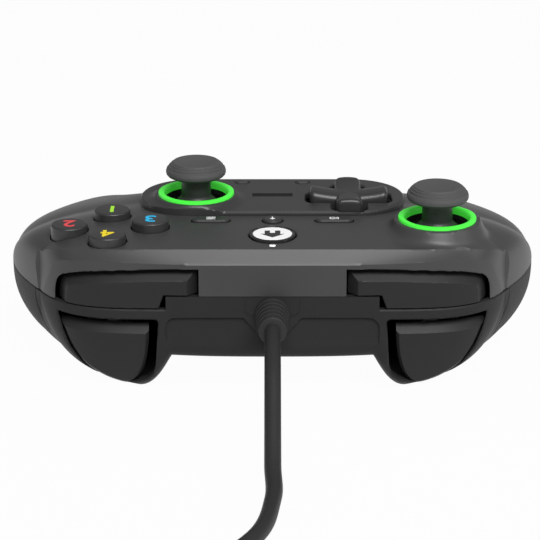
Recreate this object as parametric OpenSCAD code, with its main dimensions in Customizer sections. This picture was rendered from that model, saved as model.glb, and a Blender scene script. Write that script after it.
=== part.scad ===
/* [Body] */
// Overall width of the housing
body_w = 153; // [148:1:162]
// Depth of the housing, shoulder face to grip tips
body_d = 105; // [102:1:112]
// Height of the parting plane above the table
parting_z = 26; // [25:0.5:27]
// Height of the front face above the table
face_z = 43.6; // [43:0.2:46]
// Height of the middle of the underside above the table
belly_z = 10.6; // [9:0.2:12]
// Wall thickness of the shells
wall = 2.2; // [1.8:0.1:2.4]
// Depth of the bevel along the front edge
front_bevel = 3; // [2:0.2:3.4]

/* [Sticks] */
// Left stick, distance in from the side
left_stick_out = 30.1; // [28.6:0.1:32]
// Left stick, distance back from the shoulder face
left_stick_in = 19; // [18.6:0.2:21]
// Right stick, distance in from the end of the centre panel
right_stick_end = 15.3; // [14.6:0.1:16]
// Right stick, distance back from the shoulder face
right_stick_in = 42.2; // [41.6:0.2:43]
// Outside diameter of the green rings
ring_d = 22; // [21:0.2:23]
// Opening of the green rings
ring_bore = 18.4; // [18:0.2:19]
// Height of the rings above the front face
ring_proud = 3.6; // [3:0.2:4.4]
// Diameter of the stick caps
cap_d = 17.4; // [16:0.2:18.4]
// Diameter of the stick stems
stem_d = 8.6; // [8:0.2:9]

/* [Face buttons] */
// Diameter of the face buttons
button_d = 10.4; // [9.6:0.1:10.6]
// Spacing of the left and right face buttons
button_span_x = 23; // [22.6:0.2:23.6]
// Spacing of the near and far face buttons
button_span_y = 21; // [20.8:0.2:22]
// Middle of the face buttons, distance in from the side
button_out = 30.5; // [30:0.1:31]
// Middle of the face buttons, distance back from the shoulder face
button_in = 20.4; // [20.2:0.2:22]
// Height of the face buttons above the skin round them
button_proud = 2.4; // [2:0.1:3]
// Gap round every button
button_gap = 0.3; // [0.2:0.05:0.4]

/* [Centre controls] */
// Length of the menu and view buttons
menu_len = 10.8; // [9:0.2:12]
// Width of the menu and view buttons
menu_w = 3.8; // [3.2:0.2:4]
// Menu and view buttons, distance from the middle
menu_x = 17.6; // [16:0.2:19]
// Diameter of the share button
share_d = 5.6; // [4.6:0.2:6.4]
// Diameter of the home button
home_d = 13; // [12:0.2:13.4]
// Home button, distance back from the shoulder face
home_in = 14.2; // [14:0.2:14.8]

/* [Centre panel] */
// Length of the raised centre panel
panel_len = 75; // [73:0.5:77]
// Width of the raised centre panel
panel_w = 31.6; // [31:0.2:31.8]
// Height of the centre panel above the front face
panel_step = 1.2; // [0.8:0.1:1.6]
// Directional pad, distance in from the end of the centre panel
dpad_end = 15.3; // [15:0.1:15.8]
// Directional pad, distance back from the shoulder face
dpad_in = 43.2; // [43:0.2:44]
// Span of the directional pad
dpad_span = 22.6; // [21.6:0.2:22.8]
// Height of the directional pad above the centre panel
dpad_proud = 2.9; // [2:0.1:3.2]
// Width of a directional pad arm
dpad_arm = 7.8; // [7:0.2:8.4]

/* [Shoulders] */
// Inner end of the bumpers, distance from the middle
bumper_in = 20.9; // [20:0.2:22]
// Outer end of the bumpers, distance in from the side
bumper_end = 15.5; // [15.2:0.1:17]
// Outer edge of the triggers, distance in from the side
trigger_end = 16.3; // [16.1:0.1:18]
// Width of the triggers
trigger_w = 25.6; // [24:0.2:26.2]
// Height of the triggers
trigger_h = 20.5; // [19:0.5:20.5]
// Diameter of the trigger pins
trigger_pin_d = 2; // [1.8:0.1:2.4]

/* [Cord] */
// Diameter of the cord
cord_d = 4.4; // [3.8:0.1:4.6]
// Gap between the turns of the coil
coil_gap = 0.5; // [0.5:0.1:0.8]

/* [Hidden] */
$fn = 48;
over = 0.5;
tall = 80;
half_w = body_w / 2;
left_stick_x = half_w - left_stick_out;
right_stick_x = panel_len / 2 - right_stick_end;
button_x = half_w - button_out;
dpad_x = panel_len / 2 - dpad_end;
bumper_out = half_w - bumper_end;
trigger_out = half_w - trigger_end;
trigger_in = trigger_out - trigger_w;
front_y = -body_d / 2;
tip_y = body_d / 2;

// Plan of the body at the parting plane
wide_y = front_y + 44.5;
corner_len = 28.5;
corner_in = 10.5;
corner_x = half_w - corner_in;
corner_power = 1.7;
front_bow = 16;
front_power = 8;
grip_x = half_w - 20.5;
grip_power = 2.35;
back_y = front_y + 62;
notch_x = 22;
stations = 40;
rows = 18;

// Form of the skin over that plan
front_fall = 0.9;
front_fall_len = 24;
grip_drop = 8;
grip_drop_x = half_w - 51.5;
grip_drop_w = 22;
back_r = 4;
grip_r = 26;
pod_x = trigger_in - 7.6;
pod_w = 8;
grip_drop_y = front_y + 40;
grip_drop_len = 60;
part_drop = 9;
part_drop_y = front_y + 52.5;
shoulder_front = 5.9;
shoulder_back = 2.2;
shoulder_y = front_y + 11;
shoulder_len = 39;
under_power = 2.72;
pod_depth = 2.9;
under_front = 11;
under_front_power = 2.85;
under_back = 20;

// Levels
ring_top = face_z + ring_proud;
panel_top = face_z + panel_step;
panel_bottom = face_z - 0.8;
board_top = face_z - 12.6;
board_t = 1.6;
frame_t = 2;
board_x = half_w - 20.5;
frame_top = board_top - board_t;
tab_top = parting_z + 3.8;
socket_z = parting_z - 5.4;
tab_x = trigger_in - 5;
slit = 0.2;
shoulder_gap = 0.5;
bumper_top = face_z - 6.4;
right_stick_y = front_y + right_stick_in;
dpad_y = front_y + dpad_in;
left_stick_y = front_y + left_stick_in;
button_y = front_y + button_in;
menu_y = front_y + 25.6;
home_y = front_y + home_in;
light_y = front_y + 6.1;
panel_y = front_y + 45.8;
panel_edge = 0.6;
dpad_gap = 1.2;
panel_r = panel_w / 2;
set_x = 9;
set_len = 4;
set_w = 2;
set_y = panel_y + panel_r - 3.6;

// Stick mechanism, heights from the pivot
pivot_drop = 9.3;
pivot_z = ring_top - pivot_drop;
ring_h = 3.4;
skirt_r = ring_bore / 2 - 0.4;
skirt_t = 1.2;
skirt_angle = 65;
shaft_r = 1.8;
gimbal_r = 4;
gimbal_bore = 2.7;
gimbal_h = 2.4;
gimbal_reach = 6.4;
trunnion_r = 0.9;
cross_pin_r = 0.7;
pin_play = 0.07;
dpad_pivot_z = panel_top - 6.8;

// Shoulder mechanism
trigger_top = 21.2;
trigger_t = 3.2;
trigger_lean = 7;
trigger_bevel = 2.6;
pin_y = front_y + 8.5;
pin_z = trigger_top - 0.8;
pin_r = trigger_pin_d / 2;
hub_r = pin_r + 2;
hub_x = [trigger_in + 6.4, trigger_in + 14.4];
spring_x = [hub_x[0] + 2.4, hub_x[1] - 2.4];
lug_t = 2.4;
hinge_x = bumper_in - 4.4;
hinge_y = front_y + 4.6;
hinge_r = 1;
bumper_t = 3.6;
bumper_r = 5;
bumper_bevel = 2.2;

// Screws, each with its height above the table
screw_r = 1.2;
post_r = 2.8;
head_r = 2.4;
head_h = 1.2;
screw_len = 9;
grip_screw_x = half_w - 37;
grip_screw_y = back_y + 2.5;
screws = [[0, front_y + 39.5, belly_z], [11, front_y + 9, belly_z + 0.3], [-11, front_y + 9, belly_z + 0.3],
  [grip_screw_x, grip_screw_y, 0], [-grip_screw_x, grip_screw_y, 0]];

// Cord
sleeve_z = parting_z - 1;
sleeve_end = front_y - 13.5;
coil_layers = 4;
coil_turns = 17.25;
coil_pitch = cord_d + coil_gap;
coil_r = 36.5;
coil_x = -20;
coil_y = -226;
tie_t = 0.9;
lay_z = cord_d / 2 + tie_t + 0.3;
leg_turns = coil_turns / coil_layers;
top_lay_z = lay_z + (coil_layers - 1) * coil_pitch;
tail_y = coil_y - coil_r;
plug_x = coil_x + 50;
plug_z = 4.4;
lead_route = [[0, sleeve_end, sleeve_z], [0, sleeve_end - 5, sleeve_z], [0, -84, 22.5], [0, -98, 14], [0, -112, 6.4],
  [0, -126, lay_z], [-5, -148, lay_z], [-24, -174, lay_z], [-50, -198, lay_z],
  [coil_x - coil_r - 0.6, coil_y + 9, lay_z], [coil_x - coil_r, coil_y, lay_z]];
tail_route = [[coil_x, tail_y, top_lay_z], [coil_x + 6, tail_y, top_lay_z], [coil_x + 18, tail_y, top_lay_z - 2.6],
  [coil_x + 31, tail_y, 8.6], [coil_x + 41, tail_y, plug_z + 0.4], [plug_x - 5, tail_y, plug_z], [plug_x, tail_y, plug_z]];

function clamp01(t) = min(1, max(0, t));
function smooth(t) = let (c = clamp01(t)) c * c * (3 - 2 * c);
function fall(t, n) = pow(max(0, 1 - pow(clamp01(t), n)), 1 / n);
function spread(s) = (1 - cos(180 * s)) / 2;

// Outline of the body: half width at a depth, then the front and back edges at a distance from the middle
function side_x(y) = y < wide_y
  ? half_w - corner_in * pow(clamp01((wide_y - y) / corner_len), corner_power)
  : grip_x + (half_w - grip_x) * fall((y - wide_y) / (tip_y - wide_y), grip_power);
function front_line(x) = front_y + front_bow * pow(abs(x) / corner_x, front_power);
function side_front(x) = wide_y - corner_len * pow(clamp01((half_w - abs(x)) / corner_in), 1 / corner_power);
function inside_corner(x, w) = abs(x) + w < corner_x;
function front_edge(x, w) = inside_corner(x, w)
  ? front_line(x) + w
  : max(front_line(corner_x), side_front(abs(x) + w));
function back_in(x) = back_y + (tip_y - back_y) * smooth((abs(x) - notch_x) / (grip_x - notch_x));
function back_out(x) = wide_y + (tip_y - wide_y) * fall((abs(x) - grip_x) / (half_w - grip_x), grip_power);
function back_edge(x, w) = min(back_in(abs(x) - w) - w, back_out(abs(x) + w));

// Heights of the outer skin, w below it for the inner one
function part_z(y) = parting_z - part_drop * smooth((y - part_drop_y) / (tip_y - part_drop_y));
function crown(x, y) = face_z - front_fall * smooth((front_y + front_fall_len - y) / front_fall_len)
  - grip_drop * smooth((y - grip_drop_y) / grip_drop_len) * smooth((abs(x) - grip_drop_x) / grip_drop_w);
function shoulder_power(y) = shoulder_front
  - (shoulder_front - shoulder_back) * smooth((y - shoulder_y) / shoulder_len);
function back_round(x) = back_r + grip_r * smooth((abs(x) - notch_x + 2) / (grip_x - notch_x - 9));
function top_z(x, y, w) = part_z(y) + (crown(x, y) - w - part_z(y))
  * fall(abs(x) / (side_x(y) - w), shoulder_power(y))
  * fall(1 - clamp01((back_edge(x, w) - y) / back_round(x)), 2.2);
function pod(x) = smooth((abs(x) - pod_x) / pod_w);
function low_z(x, w) = belly_z * (1 - pod(x)) - pod_depth * pod(x) + w;
function bottom_z(x, y, w) = max(w, part_z(y) - (part_z(y) - low_z(x, w))
  * fall(abs(x) / (side_x(y) - w), under_power)
  * fall(1 - clamp01((y - front_edge(x, w)) / under_front), under_front_power)
  * fall(1 - clamp01((back_edge(x, w) - y) / under_back), 2));

// Foot of a screw post, clear of the inner skin under it
function post_foot(s) = max([for (a = [0:30:330])
  bottom_z(s[0] + (post_r + over) * cos(a), s[1] + (post_r + over) * sin(a), wall)]) + 1.2;

function station(i, w) = (half_w - w) * sin(-90 + 180 * i / stations);
function top_point(i, j, w) = let (x = station(i, w), yf = front_edge(x, w), yb = back_edge(x, w),
    cut = inside_corner(x, w), ys = cut ? yf + front_bevel : yf,
    y = ys + (yb - ys) * spread((j - 2) / (rows - 2)))
  i == 0 || i == stations ? [x, wide_y, part_z(wide_y)]
  : j == 0 ? [x, yf, part_z(yf)]
  : j == 1 ? [x, yf, cut ? max(part_z(yf), top_z(x, ys, w) - 1.2 * front_bevel) : part_z(yf)]
  : [x, y, j == rows || (!cut && j == 2) ? part_z(y) : top_z(x, y, w)];
function bottom_point(i, j, w) = let (x = station(i, w), yf = front_edge(x, w), yb = back_edge(x, w),
    y = yf + (yb - yf) * spread(j / rows))
  i == 0 || i == stations ? [x, wide_y, part_z(wide_y)]
  : [x, y, j == 0 || j == rows ? part_z(y) : bottom_z(x, y, w)];

function quad(a, b, c, d) = [[a, b, c], [a, c, d]];
function apart(p, f) = norm(p[f[0]] - p[f[1]]) > 1e-6
  && norm(p[f[1]] - p[f[2]]) > 1e-6
  && norm(p[f[2]] - p[f[0]]) > 1e-6;
function turned(f) = [f[2], f[1], f[0]];

// A hollow half: the outer skin, the inner skin and the rim between them
module half_shell(pts, flip) {
  n = rows + 1;
  m = (stations + 1) * n;
  outer = [for (i = [0:stations - 1], j = [0:rows - 1])
    each quad(i * n + j, i * n + j + 1, (i + 1) * n + j + 1, (i + 1) * n + j)];
  inner = [for (f = outer) turned([f[0] + m, f[1] + m, f[2] + m])];
  rim = [for (i = [0:stations - 1]) each concat(
    quad(i * n, (i + 1) * n, (i + 1) * n + m, i * n + m),
    quad((i + 1) * n + rows, i * n + rows, i * n + rows + m, (i + 1) * n + rows + m))];
  polyhedron(pts, [for (f = concat(outer, inner, rim)) if (apart(pts, f)) flip ? turned(f) : f], convexity = 10);
}
module top_half() {
  half_shell([for (w = [0, wall], i = [0:stations], j = [0:rows]) top_point(i, j, w)], false);
}
module bottom_half() {
  half_shell([for (w = [0, wall], i = [0:stations], j = [0:rows]) bottom_point(i, j, w)], true);
}

// A skin over rings of points, each ring counter-clockwise seen from the end it runs to
module skin(rings) {
  m = len(rings[0]);
  n = len(rings);
  sides = [for (i = [0:n - 2], k = [0:m - 1])
    each quad(i * m + k, (i + 1) * m + k, (i + 1) * m + (k + 1) % m, i * m + (k + 1) % m)];
  polyhedron([for (r = rings) each r],
    concat(sides, [[for (k = [0:m - 1]) k]], [[for (k = [m - 1:-1:0]) (n - 1) * m + k]]), convexity = 10);
}
function unit(v) = v / norm(v);
function ring_at(p, dir, up, r, sides) = let (a = unit(cross(dir, up)), b = unit(cross(a, dir)))
  [for (k = [0:sides - 1]) p + r * (a * cos(-360 * k / sides) + b * sin(-360 * k / sides))];
function tangent(path, i) = unit(path[min(i + 1, len(path) - 1)] - path[max(i - 1, 0)]);
function end_dir(path, i, first, last) = i == 0 ? first : i == len(path) - 1 ? last : tangent(path, i);
module tube(path, r, sides, first, last) {
  skin([for (i = [0:len(path) - 1]) ring_at(path[i], end_dir(path, i, first, last), [0, 0, 1], r, sides)]);
}
function bend(a, b, c, d, t) = 0.5 * (2 * b + (c - a) * t + (2 * a - 5 * b + 4 * c - d) * t * t
  + (3 * b - a - 3 * c + d) * t * t * t);
function route(p, steps) = [for (i = [0:len(p) - 2], k = [0:steps - 1])
  bend(p[max(i - 1, 0)], p[i], p[i + 1], p[min(i + 2, len(p) - 1)], k / steps), p[len(p) - 1]];

module rod_x(x0, x1, y, z, r) {
  translate([x0, y, z]) rotate([0, 90, 0]) cylinder(r = r, h = x1 - x0);
}
module rod_y(y0, y1, x, z, r) {
  translate([x, y1, z]) rotate([90, 0, 0]) cylinder(r = r, h = y1 - y0);
}
module disc(x, y, z0, z1, r) {
  translate([x, y, z0]) cylinder(r = r, h = z1 - z0);
}
module block(x0, x1, y0, y1, z0, z1) {
  translate([x0, y0, z0]) cube([x1 - x0, y1 - y0, z1 - z0]);
}
module pill(x, y, z0, z1, len, w) {
  for (s = [-1, 1])
    disc(x + s * (len - w) / 2, y, z0, z1, w / 2);
  block(x - (len - w) / 2, x + (len - w) / 2, y - w / 2, y + w / 2, z0, z1);
}
module cross_shape(x, y, z0, z1, span, arm) {
  pill(x, y, z0, z1, span, arm);
  translate([x, y, 0]) rotate(90) pill(0, 0, z0, z1, span, arm);
}
module on_right() {
  mirror([1, 0, 0]) children();
}

// Housing
button_spots = [[-button_x, button_y + button_span_y / 2], [-button_x - button_span_x / 2, button_y],
  [-button_x + button_span_x / 2, button_y], [-button_x, button_y - button_span_y / 2]];
grip_plan = [[half_w + 5, front_y + 16.5], [half_w - 12.5, front_y + 19], [half_w - 32.5, front_y + 32],
  [half_w - 44.5, back_y - 10], [notch_x - 6, back_y + 3], [notch_x - 6, tip_y + 5], [half_w + 5, tip_y + 5]];
trigger_steps = [0, 0.03, 0.1, 0.2, 0.3, 0.45, 0.6, 0.76, 0.9, 1];
trigger_depths = [0.2, 0.4, 0.72, 0.955, 1, 0.97, 0.88, 0.74, 0.575, 0.42];
function trigger_x(i) = trigger_in + (trigger_out - trigger_in) * trigger_steps[i];
function trigger_low(i) = trigger_top - trigger_h * trigger_depths[i];
window = concat([[trigger_in - 2.6, trigger_top + 2], [trigger_in - 1.7, 12], [trigger_in - 0.4, 6],
    [trigger_in + 1.6, 2.6], [trigger_in + 4, 1.2], [trigger_in + 5.6, -over], [trigger_x(5), -over]],
  [for (i = [6:len(trigger_steps) - 1]) [trigger_x(i) + 0.6, trigger_low(i) - 0.8]],
  [[trigger_out + 0.8, trigger_top + 2]]);

module grip_cut() {
  translate([0, 0, -over]) linear_extrude(height = tall) polygon(grip_plan);
}
module stick_collar(x, y, z0, r0) {
  translate([x, y, z0]) cylinder(r1 = r0, r2 = ring_d / 2 + 1.6, h = ring_top - 0.3 - z0);
}
module ring_seat(x, y) {
  disc(x, y, ring_top - ring_h, tall, ring_d / 2);
  disc(x, y, parting_z, tall, ring_bore / 2 + 0.4);
}
module tab_zone(x, z) {
  block(-x, x, front_y - over, front_y + wall + over, parting_z - over, z);
}
module bumper_zone() {
  r = bumper_r + shoulder_gap;
  high = bumper_top + 0.7;
  far = bumper_out + shoulder_gap;
  translate([0, front_line(bumper_out) + 6, 0]) rotate([90, 0, 0])
    linear_extrude(height = front_line(bumper_out) + 6 - front_y + over)
      polygon(concat([[bumper_in - shoulder_gap, high], [bumper_in - shoulder_gap, parting_z - over],
          [far, parting_z - over]],
        [for (a = [0:15:90]) [far - r + r * cos(a), high - r + r * sin(a)]]));
}
module top_shell() {
  color("#2c2d2f") difference() {
    union() {
      top_half();
      stick_collar(left_stick_x, left_stick_y, face_z - 4.2, ring_d / 2 + 4.8);
      for (s = screws)
        disc(s[0], s[1], post_foot(s), top_z(s[0], s[1], wall) + 0.7, post_r);
    }
    pill(0, panel_y, panel_bottom, tall, panel_len + 2 * slit, panel_w + 2 * slit);
    ring_seat(left_stick_x, left_stick_y);
    disc(-right_stick_x, right_stick_y, parting_z, tall, ring_bore / 2 + 1.2);
    disc(dpad_x, dpad_y, parting_z, tall, dpad_span / 2 + 1.7);
    for (p = button_spots)
      disc(p[0], p[1], parting_z, tall, button_d / 2 + button_gap);
    for (s = [-1, 1]) {
      pill(s * menu_x, menu_y, parting_z, tall, menu_len + 2 * button_gap, menu_w + 2 * button_gap);
      pill(s * set_x, set_y, parting_z, tall, set_len + 1.4, set_w + 1.4);
    }
    disc(0, menu_y, parting_z, tall, share_d / 2 + button_gap);
    disc(0, home_y, parting_z, tall, home_d / 2 + button_gap);
    block(-0.9, 0.9, light_y - 0.6, light_y + 0.6, parting_z, tall);
    for (s = screws)
      disc(s[0], s[1], 0, s[2] + head_h + screw_len + 1, screw_r + 0.05);
    tab_zone(tab_x + slit, tab_top + slit);
    bumper_zone();
    on_right() bumper_zone();
  }
}
module bottom_shell() {
  color("#26272a") difference() {
    union() {
      bottom_half();
      intersection() {
        top_half();
        tab_zone(tab_x, tab_top);
      }
    }
    for (m = [0, 1])
      mirror([m, 0, 0]) {
        grip_cut();
        translate([0, front_y + 18, 0]) rotate([90, 0, 0]) linear_extrude(height = 20) polygon(window);
      }
    for (s = screws) {
      disc(s[0], s[1], -over, s[2] + head_h + 0.1, head_r + 0.3);
      disc(s[0], s[1], -over, s[2] + 8, screw_r + 0.3);
    }
    rod_y(front_y - over, front_y + 6, 0, sleeve_z, 2.7);
    rod_y(back_y - 12, back_y + over, 0, socket_z, 3.9);
  }
}
module left_grip() {
  color("#37383b") difference() {
    intersection() {
      bottom_half();
      translate([0, slit, 0]) grip_cut();
    }
    disc(screws[3][0], screws[3][1], -over, head_h + 0.1, head_r + 0.3);
    disc(screws[3][0], screws[3][1], -over, 8, screw_r + 0.3);
  }
}
module right_grip() {
  on_right() left_grip();
}
module centre_panel() {
  color("#303134") difference() {
    union() {
      pill(0, panel_y, panel_bottom, panel_top - panel_edge, panel_len, panel_w);
      for (s = [-1, 1])
        translate([s * (panel_len / 2 - panel_r), panel_y, panel_top - panel_edge])
          cylinder(r1 = panel_r, r2 = panel_r - panel_edge, h = panel_edge);
      translate([-panel_len / 2 + panel_r, panel_y, panel_top - panel_edge]) rotate([90, 0, 90])
        linear_extrude(height = panel_len - panel_w)
          polygon([[-panel_r, 0], [panel_r, 0], [panel_r - panel_edge, panel_edge], [panel_edge - panel_r, panel_edge]]);
      stick_collar(-right_stick_x, right_stick_y, panel_top - over, ring_d / 2 + 3);
    }
    ring_seat(-right_stick_x, right_stick_y);
    cross_shape(dpad_x, dpad_y, 0, tall, dpad_span + 2 * dpad_gap, dpad_arm + 2 * dpad_gap);
    for (s = [-1, 1])
      pill(s * set_x, set_y, 0, tall, set_len + 2 * button_gap, set_w + 2 * button_gap);
    block(-5.9, 5.9, panel_y - 0.3, panel_y + 3.3, panel_top - 0.5, tall);
  }
}

// Sticks
module stick_ring(x, y) {
  color("#3ee23a") translate([x, y, ring_top]) rotate_extrude($fn = 72)
    polygon([[ring_bore / 2, -ring_h], [ring_d / 2, -ring_h], [ring_d / 2, 0], [ring_bore / 2 + 0.5, 0],
      [ring_bore / 2, -0.8]]);
}
module stick_cap(x, y) {
  r = cap_d / 2;
  color("#1e1f21") translate([x, y, ring_top]) difference() {
    rotate_extrude($fn = 72)
      polygon([[0, 4.2], [stem_d / 2, 4.2], [r - 1, 5.2], [r - 0.1, 6.1], [r, 6.9], [r - 0.5, 7.6], [r - 1.2, 8.2],
        [r - 2.4, 9], [4.4, 8.6], [2.2, 8.35], [0, 8.25]]);
    cylinder(r = stem_d / 2 - 1.1, h = 7);
  }
}
module stick_stem(x, y) {
  color("#161718") translate([x, y, pivot_z]) difference() {
    rotate_extrude($fn = 72) union() {
      intersection() {
        difference() {
          circle(r = skirt_r);
          circle(r = skirt_r - skirt_t);
        }
        polygon([[0, 0], [tall * sin(skirt_angle), tall * cos(skirt_angle)], [0, tall]]);
      }
      translate([0, skirt_r - skirt_t]) square([stem_d / 2, pivot_drop + 4.2 - skirt_r + skirt_t]);
      translate([0, skirt_r]) square([stem_d / 2 - 1.1, pivot_drop + 7 - skirt_r]);
    }
    cylinder(r = shaft_r + pin_play, h = 12.4);
  }
}
module stick_shaft(x, y) {
  color("#8d9094") translate([x, y, pivot_z]) {
    disc(0, 0, -2.5, 11.6, shaft_r);
    rod_y(-gimbal_r + 0.1, gimbal_r - 0.1, 0, 0, cross_pin_r);
  }
}
module gimbal_ring(x, y, z) {
  color("#3a3c40") translate([x, y, z]) difference() {
    union() {
      disc(0, 0, -gimbal_h / 2, gimbal_h / 2, gimbal_r);
      rod_x(-gimbal_reach, gimbal_reach, 0, 0, trunnion_r);
    }
    disc(0, 0, -gimbal_h, gimbal_h, gimbal_bore);
    rod_y(-gimbal_r - 1, gimbal_r + 1, 0, 0, cross_pin_r + pin_play);
  }
}
module trunnion_posts(base) {
  difference() {
    for (s = [-1, 1])
      block(s * 5.6 - 1, s * 5.6 + 1, -1.8, 1.8, base, 1.8);
    rod_x(-9, 9, 0, 0, trunnion_r + pin_play);
  }
}
module stick_sensor(x, y) {
  low = board_top - pivot_z;
  color("#4a4c50") translate([x, y, pivot_z]) {
    difference() {
      block(-8, 8, -8, 8, low, -1.1);
      disc(0, 0, -4.6, 1, 4.8);
      for (s = [-1, 1])
        block(s * 5.6 - 1, s * 5.6 + 1, -1.8, 1.8, -3, 1);
    }
    trunnion_posts(-3);
    block(-4.5, 4.5, 8, 11, low, -1.4);
    block(-11, -8, -4.5, 4.5, low, -1.4);
  }
}

// Directional pad
module dpad() {
  rise = panel_top + dpad_proud - dpad_pivot_z;
  color("#202124") translate([dpad_x, dpad_y, dpad_pivot_z]) difference() {
    union() {
      cross_shape(0, 0, 2.4, rise, dpad_span, dpad_arm);
      disc(0, 0, 2.4, 3.1, dpad_span / 2 - 0.4);
      disc(0, 0, -1.2, 2.6, 2);
      rod_y(-gimbal_r + 0.1, gimbal_r - 0.1, 0, 0, cross_pin_r);
    }
    translate([0, 0, rise + 43.4]) sphere(r = 45, $fn = 96);
  }
}
module dpad_cradle() {
  low = board_top - dpad_pivot_z;
  color("#55575b") translate([dpad_x, dpad_y, dpad_pivot_z]) {
    disc(0, 0, low, low + 1.2, 8.4);
    difference() {
      for (s = [-1, 1])
        block(s * 5.6 - 1, s * 5.6 + 1, -1.8, 1.8, low + 1.2, 1.4);
      rod_x(-9, 9, 0, 0, trunnion_r + pin_play);
    }
  }
}

// Buttons
function lug_room(p, turn) = min([for (s = [-1, 1], t = [-1.2, 1.2]) let (u = s * (button_d / 2 + 1.1))
  top_z(p[0] + u * cos(turn) - t * sin(turn), p[1] + u * sin(turn) + t * cos(turn), wall)]);
module face_button(i, lug_turn) {
  p = button_spots[i];
  r = button_d / 2;
  top = top_z(p[0], p[1], 0) + button_proud;
  low = min(top - 6.4, lug_room(p, lug_turn) - 1.3);
  color("#1c1d1f") translate([p[0], p[1], 0]) {
    rotate_extrude($fn = 72)
      polygon([[0, low], [r, low], [r, top - 0.6], [r - 0.2, top - 0.2], [r - 0.6, top], [0, top]]);
    disc(0, 0, board_top + 2.2, low + over, 2);
    rotate(lug_turn) block(-r - 1.1, r + 1.1, -1.2, 1.2, low, low + 1);
  }
}
module small_button(x, y, z, len, w, flange) {
  color("#1f2023") {
    pill(x, y, face_z - 3.6, z, len, w);
    pill(x, y, face_z - 4.6, face_z - 3.6, len + 2 * flange, w + 2 * flange);
    disc(x, y, board_top + 1.2, face_z - 4.6, 1.2);
  }
}
module share_button() {
  color("#1f2023") {
    disc(0, menu_y, face_z - 3.6, face_z + 0.7, share_d / 2);
    disc(0, menu_y, face_z - 4.6, face_z - 3.6, share_d / 2 + 0.8);
    disc(0, menu_y, board_top + 1.2, face_z - 4.6, 1.2);
  }
}
module home_button() {
  color("#141416") {
    disc(0, home_y, face_z - 3.6, top_z(0, home_y, 0) + 0.2, home_d / 2);
    block(-home_d / 2 - 0.9, home_d / 2 + 0.9, home_y - 2, home_y + 2, face_z - 4.6, face_z - 3.6);
    disc(0, home_y, board_top + 1.2, face_z - 4.6, 1.6);
  }
}
module status_light() {
  color("#f4f6f8") {
    block(-0.8, 0.8, light_y - 0.5, light_y + 0.5, face_z - 3.6, top_z(0, light_y, 0));
    block(-1.6, 1.6, light_y - 1.2, light_y + 1.2, board_top, face_z - 3.6);
  }
}

// Shoulder controls
function bumper_high(x) = let (d = max(0, x - bumper_out + bumper_r))
  bumper_top - bumper_r + sqrt(bumper_r * bumper_r - d * d);
function bumper_ring(x, back, low) = let (y = front_line(x) + back, high = bumper_high(x))
  [[x, y + bumper_bevel, high], [x, y, high - bumper_bevel], [x, y, low], [x, front_line(x) + bumper_t, low],
    [x, front_line(x) + bumper_t, high]];
module left_bumper() {
  step = tab_x + 0.6;
  low = parting_z + 0.3;
  high = tab_top + 0.4;
  run = bumper_out - bumper_r - step - 1.4;
  outer = concat([for (t = [0.25, 0.5, 0.75, 1]) step + 1.4 + run * t],
    [for (a = [30, 50, 70]) bumper_out - bumper_r + bumper_r * sin(a)]);
  color("#2a2b2e") difference() {
    union() {
      skin(concat([bumper_ring(bumper_in, 1.2, high), bumper_ring(bumper_in + 1.4, 0, high), bumper_ring(step, 0, high),
          bumper_ring(step + 1.4, 0, low)],
        [for (x = outer) bumper_ring(x, 0, low)], [bumper_ring(bumper_out, 0.8, low)]));
      block(hinge_x, bumper_in + 3, hinge_y - 1.4, hinge_y + 1.6, frame_top + 1, bumper_top - 1);
      disc(hinge_x, hinge_y, frame_top + 1, bumper_top - 1, hinge_r + 0.8);
    }
    disc(hinge_x, hinge_y, 0, tall, hinge_r + pin_play);
  }
}
function trigger_front(x, z) = front_line(x) + 0.3
  + trigger_lean * pow(clamp01((trigger_top - z) / trigger_h), 1.4);
function trigger_ring(i) = let (x = trigger_x(i), low = trigger_low(i), h = trigger_top - low,
    cut = min(trigger_bevel, 0.2 * h))
  concat([[x, trigger_front(x, trigger_top) + cut, trigger_top]],
    [for (z = concat([trigger_top - cut], [for (k = [1:4]) trigger_top - h * k / 4])) [x, trigger_front(x, z), z]],
    [for (k = [4, 3, 2, 1, 0]) let (z = trigger_top - h * k / 4) [x, trigger_front(x, z) + trigger_t, z]]);
module left_trigger() {
  color("#1f2022") difference() {
    union() {
      skin([for (i = [0:len(trigger_steps) - 1]) trigger_ring(i)]);
      rod_x(hub_x[0], hub_x[1], pin_y, pin_z, hub_r);
      block(hub_x[0], hub_x[1], pin_y - 5.4, pin_y, pin_z - hub_r, pin_z);
    }
    rod_x(hub_x[0] - 1, hub_x[1] + 1, pin_y, pin_z, pin_r + pin_play);
    block(spring_x[0] - 0.3, spring_x[1] + 0.3, pin_y - hub_r - 0.2, pin_y + hub_r + 1, pin_z - hub_r - 0.3,
      pin_z + hub_r + 1);
  }
}
module left_trigger_pin() {
  color("#b9bcc0") rod_x(hub_x[0] - lug_t - 0.6, hub_x[1] + lug_t + 0.6, pin_y, pin_z, pin_r);
}
spring_turns = 4;
spring_wire = 0.6;
spring_steps = 12;
module left_trigger_spring() {
  r = pin_r + 1;
  run = spring_x[1] - spring_x[0] - spring_wire;
  n = spring_turns * spring_steps;
  color("#c8cbcf") translate([spring_x[0] + spring_wire / 2, pin_y, pin_z])
    skin([for (i = [0:n]) let (a = 360 * i / spring_steps, x = run * i / n, out = [0, cos(a), sin(a)])
      [for (k = [0:3]) let (b = 90 * k + 45)
        [x, 0, 0] + out * (r + spring_wire / 2 * sin(b)) + [spring_wire / 2 * cos(b), 0, 0]]]);
}
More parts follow.
